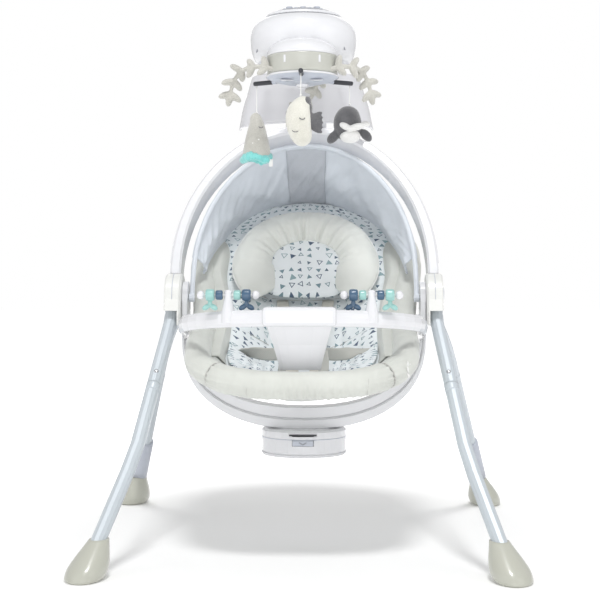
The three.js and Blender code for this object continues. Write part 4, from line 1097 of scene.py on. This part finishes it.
def make_rolls():
    front = [rim_at(SEAM_T * (1 - i / 60), -1) for i in range(60)]
    front += [rim_at(SEAM_T * i / 60) for i in range(61)]

    def front_radius(t, a):
        gap = min(t, 1 - t)
        gather = 0.0011 * math.exp(-gap * 16) * math.sin(a * 17 + 3 * math.sin(a * 3))
        return 0.0246 * (1 - 0.10 * math.exp(-gap * 60)) + gather

    roll = tube("seat_roll_front", front, front_radius, 96, up=UP)

    def gathers(p, n):
        low = clamp(0.55 - n.z) * clamp(-n.y + 0.4)
        pull = 0.0017 * low * math.sin(p.x * 420 + 2.4 * fold_noise(p, 30)) * (0.35 + bump_at(p.x, 0.02, 0.12))
        return pull + 0.0011 * fold_noise(p, 60, (1.6, 0.5, 0.5)) + 0.0012 * fold_noise(p, 20)

    ripple(roll, gathers)
    place(roll, SATIN_SHADED, SEAT, "satin_cloth", "rim_roll_front")
    # darker thread arcs round the front roll at two of its creases: painted shade in the creases
    for k, x in enumerate((-84, 112)):
        i = min(range(121), key=lambda i: abs(front[i].x * 1000 - x))
        tangent = (front[i + 1] - front[i - 1]).normalized()
        side = tangent.cross(UP).normalized()
        up = side.cross(tangent)
        out = side if side.y < 0 else -side
        arc = [math.radians(lerp(-85, 15, m / 24)) for m in range(25)]
        pts = [front[i] + (out * math.cos(a) + up * math.sin(a)) * 0.0248
               + tangent * (0.003 * math.sin(2 * a)) for a in arc]
        place(tube(f"roll_crease_shade_line_{k + 1}", pts, 0.00045, 8), SEAM, SEAT, "satin_cloth")
    # a small embroidered sprig of four leaves
    spot = rim_at(0.222)
    for k, (along, lift, turn) in enumerate(((-7, 2, 0.5), (0, 6, 0.1), (7, 3, -0.5), (1, -5, 0.9))):
        a = math.radians(lift * 4.2)
        out = Vector((0.86 * math.cos(a), -0.5 * math.cos(a), math.sin(a)))
        p = spot + out * 0.0253 + Vector((0.28, 0.9, 0.3)) * (along * MM)
        leaf = ball(f"roll_sprig_{k + 1}", p, mm(1.0, 3.0, 5.5), (turn, 0, -0.52), 18, 12)
        place(leaf, PIPING, SEAT, "satin_cloth")
    steps = 260
    right = [SEAM_T + (1 - SEAM_T) * i / steps for i in range(steps + 1)]
    ts = right + list(reversed(right[:-1]))
    rear = [rim_at(t) for t in right] + [rim_at(t, -1) for t in reversed(right[:-1])]

    def rear_radius(t, a):
        gap = min(t, 1 - t)
        gather = 0.0011 * math.exp(-gap * 40) * math.sin(a * 17 + 2 * math.sin(a * 2))
        return roll_radius(ts[round(t * (len(ts) - 1))]) * (1 - 0.10 * math.exp(-gap * 200)) + gather

    roll = tube("seat_roll_rear", rear, rear_radius, 72, up=UP)
    ripple(roll, lambda p, n: 0.0008 * fold_noise(p, 70, (1.4, 0.7, 0.7)) + 0.0010 * fold_noise(p, 18))
    place(roll, SATIN_SHADED, SEAT, "satin_cloth", "rim_roll_rear")
    for side, word in SIDES:
        p, q = rim_at(SEAM_T, side), rim_at(SEAM_T + 0.004, side)
        tangent = (q - p).normalized()
        x = tangent.cross(UP).normalized()
        y = tangent.cross(x)
        pts = [p + (x * math.cos(a) + y * math.sin(a)) * 0.0226 for a in [TURN * i / 48 for i in range(48)]]
        place(tube(f"roll_seam_{word}", pts, 0.0011, 8, closed=True), SEAM, SEAT, "satin_cloth")
        # piping where the roll meets the seat's cloth
        pts = []
        for i in range(90):
            t = lerp(0.03, 0.72, i / 89)
            p = rim_at(t, side)
            inward = Vector((-p.x, -p.y * 0.55, 0)).normalized()
            down = (inward * 0.86 + Vector((0, 0, -0.5))).normalized()
            pts.append(p + down * (roll_radius(t) + 0.0004))
        place(tube(f"roll_piping_{word}", pts, 0.0016, 10), PIPING, SEAT, "satin_cloth")


PILLOW_MID = mm(0, 153, 569)
CUSHION_MID = -62
PILLOW_UP = Vector((0, 0.5977, 0.8018))
PILLOW_OUT = Vector((0, -0.8018, 0.5977))


def pillow_point(x, s, n=0.0):
    """A point of the pillow's own leaning plane, in mm: x across, s up the plane, n out of it."""
    return PILLOW_MID + Vector((x * MM, 0, 0)) + PILLOW_UP * (s * MM) + PILLOW_OUT * (n * MM)


def make_pillow():
    keys = [Vector(k) for k in (
        (-70, -112, 0), (-99, -92, 0), (-114, -56, 0), (-107, -14, 0), (-82, 22, 0), (-43, 43, 0),
        (0, 49, 0), (43, 43, 0), (82, 22, 0), (107, -14, 0), (114, -56, 0), (99, -92, 0), (70, -112, 0))]
    count = 90
    mids = [catmull(keys, i / count) for i in range(count + 1)]

    def half_width(t):
        end = min(t, 1 - t)
        return (44.0 - 1.5 * bump_at(t, 0.5, 0.1)) * math.sqrt(clamp(end / 0.07, 0.03, 1))

    verts, sides = [], 28
    for i, m in enumerate(mids):
        a, b = mids[max(i - 1, 0)], mids[min(i + 1, count)]
        along = (b - a).normalized()
        out = Vector((along.y, -along.x, 0))
        w = half_width(i / count)
        for k in range(sides):
            ang = TURN * k / sides
            q = m + out * (w * math.cos(ang))
            verts.append(pillow_point(q.x, q.y, 0.33 * w * math.sin(ang) * (1 - 0.25 * abs(math.cos(ang)))))
    pillow = loft("head_pillow_horseshoe", verts, sides)
    inflate(pillow, 0.005, 4.0, 0.008)

    def crease(p, n):
        rel = p - PILLOW_MID
        x, s = rel.x * 1000, rel.dot(PILLOW_UP) * 1000
        ray = math.atan2(x, s + 60)
        reach = math.hypot(x, s + 60)
        near = clamp((140 - reach) / 50) * clamp((reach - 50) / 14) * bump_at(ray, 0, 1.9)
        hem = clamp((reach - 120) / 20) * bump_at(ray, 0, 2.4)
        pleat = 0.6 * math.sin(ray * 29 + 1.5 * math.sin(ray * 5)) + 0.4 * math.sin(ray * 47 + 1.3)
        face = clamp(n.dot(PILLOW_OUT) * 1.5)
        return (0.0046 * near * pleat * face + 0.0009 * hem * math.sin(ray * 47) * face
                + 0.0015 * fold_noise(p, 34) * face)

    ripple(pillow, crease)
    place(pillow, SATIN_LIT, SEAT, "satin_cloth", "head_pillow")
    skin = BVHTree.FromPolygons([v.co for v in pillow.data.vertices],
                                [p.vertices for p in pillow.data.polygons])
    pts = []
    for i in range(4, count - 3):
        a, b = mids[i - 1], mids[i + 1]
        along = (b - a).normalized()
        q = mids[i] + Vector((-along.y, along.x, 0)) * (half_width(i / count) + 14)
        at, normal, _, _ = skin.find_nearest(pillow_point(q.x, q.y, 0.0))
        pts.append(at + normal * 0.0004)
    for _ in range(3):
        inner = [(a + b * 2 + c) / 4 for a, b, c in zip(pts, pts[1:], pts[2:])]
        pts = [pts[0]] + inner + [pts[-1]]
    place(tube("pillow_piping", pts, 0.0016, 10), PIPING, SEAT, "satin_cloth")


def make_cushion():
    """The printed cushion in the pillow's opening, round at the top and square at the bottom."""
    steps, rings, outline = 72, 14, []
    for i in range(steps):
        c, sn = math.cos(TURN * i / steps), math.sin(TURN * i / steps)
        if sn >= 0:
            outline.append((86 * c, CUSHION_MID + 90 * sn))
        else:
            outline.append((86 * math.copysign(abs(c) ** 0.5, c), CUSHION_MID - 62 * abs(sn) ** 0.7))
    verts, faces, uvs = [], [], []
    for side in (1, -1):
        for j in range(rings):
            k = 1 - j / rings
            for x, s_mid in outline:
                qx, qs = x * k, CUSHION_MID + (s_mid - CUSHION_MID) * k
                n = -9 + side * (1.2 + 12.5 * math.sqrt(max(0, 1 - k ** 3.2)))
                verts.append(pillow_point(qx, qs, n))
                uvs.append((qx * MM, qs * MM))
        verts.append(pillow_point(0, CUSHION_MID, -9 + side * 13.7))
        uvs.append((0, CUSHION_MID * MM))
    per = rings * steps + 1
    for base in (0, per):
        for j in range(rings):
            for k in range(steps):
                a, b = base + j * steps + k, base + j * steps + (k + 1) % steps
                faces.append((a, b, base + per - 1) if j == rings - 1 else (a, b, b + steps, a + steps))
    faces += [(k, per + k, per + (k + 1) % steps, (k + 1) % steps) for k in range(steps)]
    cushion = fix_normals(mesh_object("head_cushion_print", verts, faces, uvs))
    ripple(cushion, lambda p, n: 0.0008 * fold_noise(p, 40))
    place(cushion, PRINT_LARGE, SEAT, "print_cloth")


WEB_WIDTH, WEB_THICK = 0.024, 0.0022


def ribbon(name, path, across, mat, *nodes):
    """Flat webbing along points, with the direction that it is wide in at each one."""
    verts, half, across_steps = [], WEB_THICK / 2, 8
    for i, p in enumerate(path):
        tangent = (path[min(i + 1, len(path) - 1)] - path[max(i - 1, 0)]).normalized()
        side = (across[i] - tangent * tangent.dot(across[i])).normalized()
        up = side.cross(tangent)
        shares = [j / across_steps * 2 - 1 for j in range(across_steps + 1)]
        for face, row in ((1, shares), (-1, [-s for s in shares])):
            for s in row:
                rise = face * (half * (1 - 0.25 * s ** 6))
                verts.append(p + side * (s * WEB_WIDTH / 2) + up * rise)
    place(loft(name, verts, 2 * across_steps + 2), mat, SEAT, "strap_web", *nodes)


def make_harness():
    buckle = seat_point(0, -0.5) + mm(0, 0, 22)
    ts = [i / 40 for i in range(41)]
    for side, word in SIDES:
        path, wide = [], []
        for t in ts:
            v, w = lerp(0.34, -0.40, t), side * lerp(0.28, 0.07, t ** 1.2)
            path.append(on_seat(w, v, (18.5 + 2.5 * math.sin(math.pi * t)) * MM))
            wide.append(on_seat(w + 0.05, v, 0.02) - on_seat(w - 0.05, v, 0.02))
        ribbon(f"shoulder_web_{word}", path, wide, WEB, f"shoulder_strap_{word}")
        start = on_seat(side * 0.86, -0.30, 0.020)
        end = buckle + mm(side * 22, 2, -6)
        path, wide = [], []
        for t in ts:
            arch = math.sin(math.pi * t)
            lift = on_seat(side * lerp(0.66, 0.26, t), lerp(-0.10, -0.56, t), 0.026 + 0.046 * arch)
            path.append(start.lerp(end, t).lerp(lift, max(0.0, arch) ** 0.5 * 0.95))
            wide.append(Vector((lerp(0.9, 0.2, t), side * 0.25, lerp(0.35, 0.9, arch))))
        ribbon(f"lap_web_{word}", path, wide, LAP_WEB)
        tongue = rounded_box(f"buckle_tongue_{word}", end + mm(-9, -9, -3), end + mm(9, 9, 3), 0.002, 3)
        place(tongue, GREY, SEAT, "dark_plastic")


# ---------------------------------------------------------------- canopy
def canopy_point(t, v, h=0.0):
    """The canopy's cloth: t is the angle round the bow, v runs from the bow to the rear edge."""
    rise = 293 + 20 * v ** 4
    half = lerp(218, 206, v)
    up = 60 + rise * math.sin(t)
    start = LEAN + 8 / up
    end = math.radians(57.5 + 1.0 * max(0.0, math.sin(t)) ** 4)
    lean = lerp(start, end, v)
    # the cloth sags a little inwards between the bow and the rear edge, with soft folds
    sag = 5.5 * math.sin(math.pi * v) * math.sin(t) ** 2
    ease = math.sin(math.pi * v) ** 0.8 if 0 < v < 1 else 0.0
    drape = (noise.noise(Vector((5 * t + 2.5 * v, 1.8 * v, 3.1)))
             + 0.6 * noise.noise(Vector((13 * t - 6 * v, 3 * v, 8.2))))
    waves = 2.2 * (1 + math.sin(9 * t + 5 * v)) + 1.2 * (1 + math.sin(23 * t - 9 * v))
    fold = ease * (waves + 7.5 * (drape + 1))
    r = 1 - (sag + fold - h * 1000) / math.hypot(half * math.cos(t), up)
    x, up = half * math.cos(t) * r, up * r
    return mm(x, up * math.sin(lean), 460 + up * math.cos(lean))


def make_canopy():
    def surface(u, v, h):
        return canopy_point(math.pi * lerp(0.96, 0.04, u), v, h)

    def blend(obj):
        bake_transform(obj)

    sheet = slab_surface("canopy_cloth", surface, 220, 44, 0.0018)
    finish_mesh(sheet, CANOPY)
    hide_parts("canopy_fabric")

    def panel_surface(u, v, h):
        return canopy_point(math.pi * lerp(0.562, 0.438, u), lerp(0.0, 0.985, v), h - 0.0022)

    panel = slab_surface("canopy_centre_panel", panel_surface, 40, 44, 0.0012)
    pieces = [(panel, CANOPY_PANEL)]
    for k, v in enumerate((0.004, 0.996)):
        pts = [canopy_point(math.pi * lerp(0.96, 0.04, i / 160), v) for i in range(161)]
        pieces.append((tube(f"canopy_hem_{k + 1}", pts, 0.0026, 12), CANOPY))

    def edge_surface(u, v, h):
        # the binding stands out from the bow towards the arch
        p = canopy_point(math.pi * lerp(0.965, 0.035, u), 0.0)
        out = (p - mm(0, 0, 464)).normalized()
        stand = lerp(-0.003, 0.0072, v) + 0.0004 * math.sin(60 * u)
        return p + out * stand + mm(0, -1, 0.5) * (4 * v + h * 1000)

    pieces.append((slab_surface("canopy_binding", edge_surface, 200, 8, 0.0016), CANOPY))
    for k, u in enumerate((0.44, 0.56)):
        pts = [canopy_point(math.pi * u, lerp(0.0, 0.99, i / 40), -0.0034) for i in range(41)]
        pieces.append((tube(f"canopy_seam_{k + 1}", pts, 0.0008, 8), CANOPY_PANEL))
    for obj, mat in pieces:
        finish_mesh(obj, mat)
        blend(obj)
    blend(sheet)


# ---------------------------------------------------------------- tray, beads and yoke
def barrel(name, x0, x1, r, cx, y, z):
    """A bead round the x axis, full in the middle and rounded off at its ends."""
    mid, half = (x0 + x1) / 2, (x1 - x0) / 2
    shares = [k / 10 - 1 for k in range(21)]
    profile = [(r * (0.72 + 0.28 * math.sqrt(1 - s ** 4)), mid + half * s) for s in shares]
    return lathe(name, [(0, x0)] + profile + [(0, x1)], 32, mm(cx, y, z), "x")


def make_spinners():
    for side, word in SIDES:
        body = f"bead_spinner_{word}"
        cx, y, z = side * 125, -274, 472
        first, second = (MINT, NAVY) if side < 0 else (NAVY, MINT)
        axle = tube(f"spinner_axle_{word}", [mm(cx + x, y, z) for x in (-50, -25, 0, 25, 50)], 0.0026, 16)
        place(axle, PIPING, body, "bead_plastic", f"bead_spinner_{word}")
        for x, tag in ((-48, "a"), (48, "b")):
            knob = ball(f"spinner_ball_{word}_{tag}", mm(cx + x, y, z), mm(7.2, 7.6, 7.6), (0, 0, 0), 28, 20)
            place(knob, WHITE, body, "bead_plastic")
        for x0, x1, r, mat, tag in ((-39.5, -24, 10.4, first, "a"), (-22, -9.5, 8.6, second, "b"),
                                    (9.5, 22, 8.6, first, "c"), (24, 39.5, 10.4, second, "d")):
            bead = barrel(f"spinner_bead_{word}_{tag}", x0, x1, r, cx, y, z)
            place(bead, mat, body, "bead_plastic")
        for x, mat, tag in ((-32, first, "a"), (32, second, "d")):
            parts = [ball("stem", mm(cx + x, y, z - 13), mm(4.2, 2.6, 5.5), segments=16, rings=12)]
            parts += [ball("lobe", mm(cx + x + k * 6.5, y, z - 21), mm(8.2, 2.6, 4.8), (0, k * 0.55, 0), 20, 14)
                      for k in (-1, 1)]
            tail = remesh(join_objects(f"spinner_tail_{word}_{tag}", parts), 0.0009, 3)
            place(tail, mat, body, "bead_plastic")


def yoke_seam_point(t, y):
    """A point on the line between the yoke's outer shell and its inner cover, t in 0..1 from side to side."""
    a = math.pi * t
    c, sn = math.cos(a), math.sin(a)
    x = 230.6 * math.copysign(abs(c) ** (2 / 2.3), c)
    return mm(x, y, 392.4 - (392.4 - 230.4) * max(sn, 0.0) ** (2 / 2.3))


def make_yoke_details():
    for name, y in (("front", -26.0), ("back", 26.0)):
        pts = [yoke_seam_point(lerp(0.012, 0.988, i / 120), y) for i in range(121)]
        place(tube(f"yoke_seam_{name}", pts, 0.0013, 8), WHITE, SEAT, "white_plastic")
    # the drum's seam, its base lip, its slot, and a chevron on its latch
    ring = lathe("drum_seam_ring", [
        (81.4, 195.2), (82.5, 195.4), (82.5, 196.6), (81.4, 196.8), (81.4, 195.2)], 96)
    place(ring, PALE_GREY, SEAT, "white_plastic")
    base = lathe("drum_base_lip", [
        (76, 161.6), (80, 161.9), (82.2, 164), (82.4, 167), (81.2, 167.4), (76, 163), (76, 161.6)], 96)
    place(base, WHITE, SEAT, "white_plastic")
    arc = [math.radians(lerp(-108, -72, i / 32)) for i in range(33)]
    pts = [mm(83.0 * math.cos(a), 83.0 * math.sin(a), 205) for a in arc]
    place(tube("drum_slot_line", pts, 0.0013, 8), WINDOW, SEAT, "dark_plastic")
    marks = []
    for sign in (-1, 1):
        a, b = mm(sign * 7, -85.2, 192.0), mm(0, -85.2, 187.4)
        marks.append(tube("mark", [a.lerp(b, i / 6) for i in range(7)], 0.0008, 8))
    place(join_objects("drum_latch_mark", marks), GREY, "drum_latch", "grey_plastic")


for make in (
    paint_cad, make_leg_details, make_hub_details, make_arch_details, make_head, make_bell, make_mobile,
    make_toys, make_sling, make_pad, make_bolsters, make_rolls, make_pillow, make_cushion, make_harness,
    make_canopy, make_spinners, make_yoke_details, set_camera, set_stage):
    make()
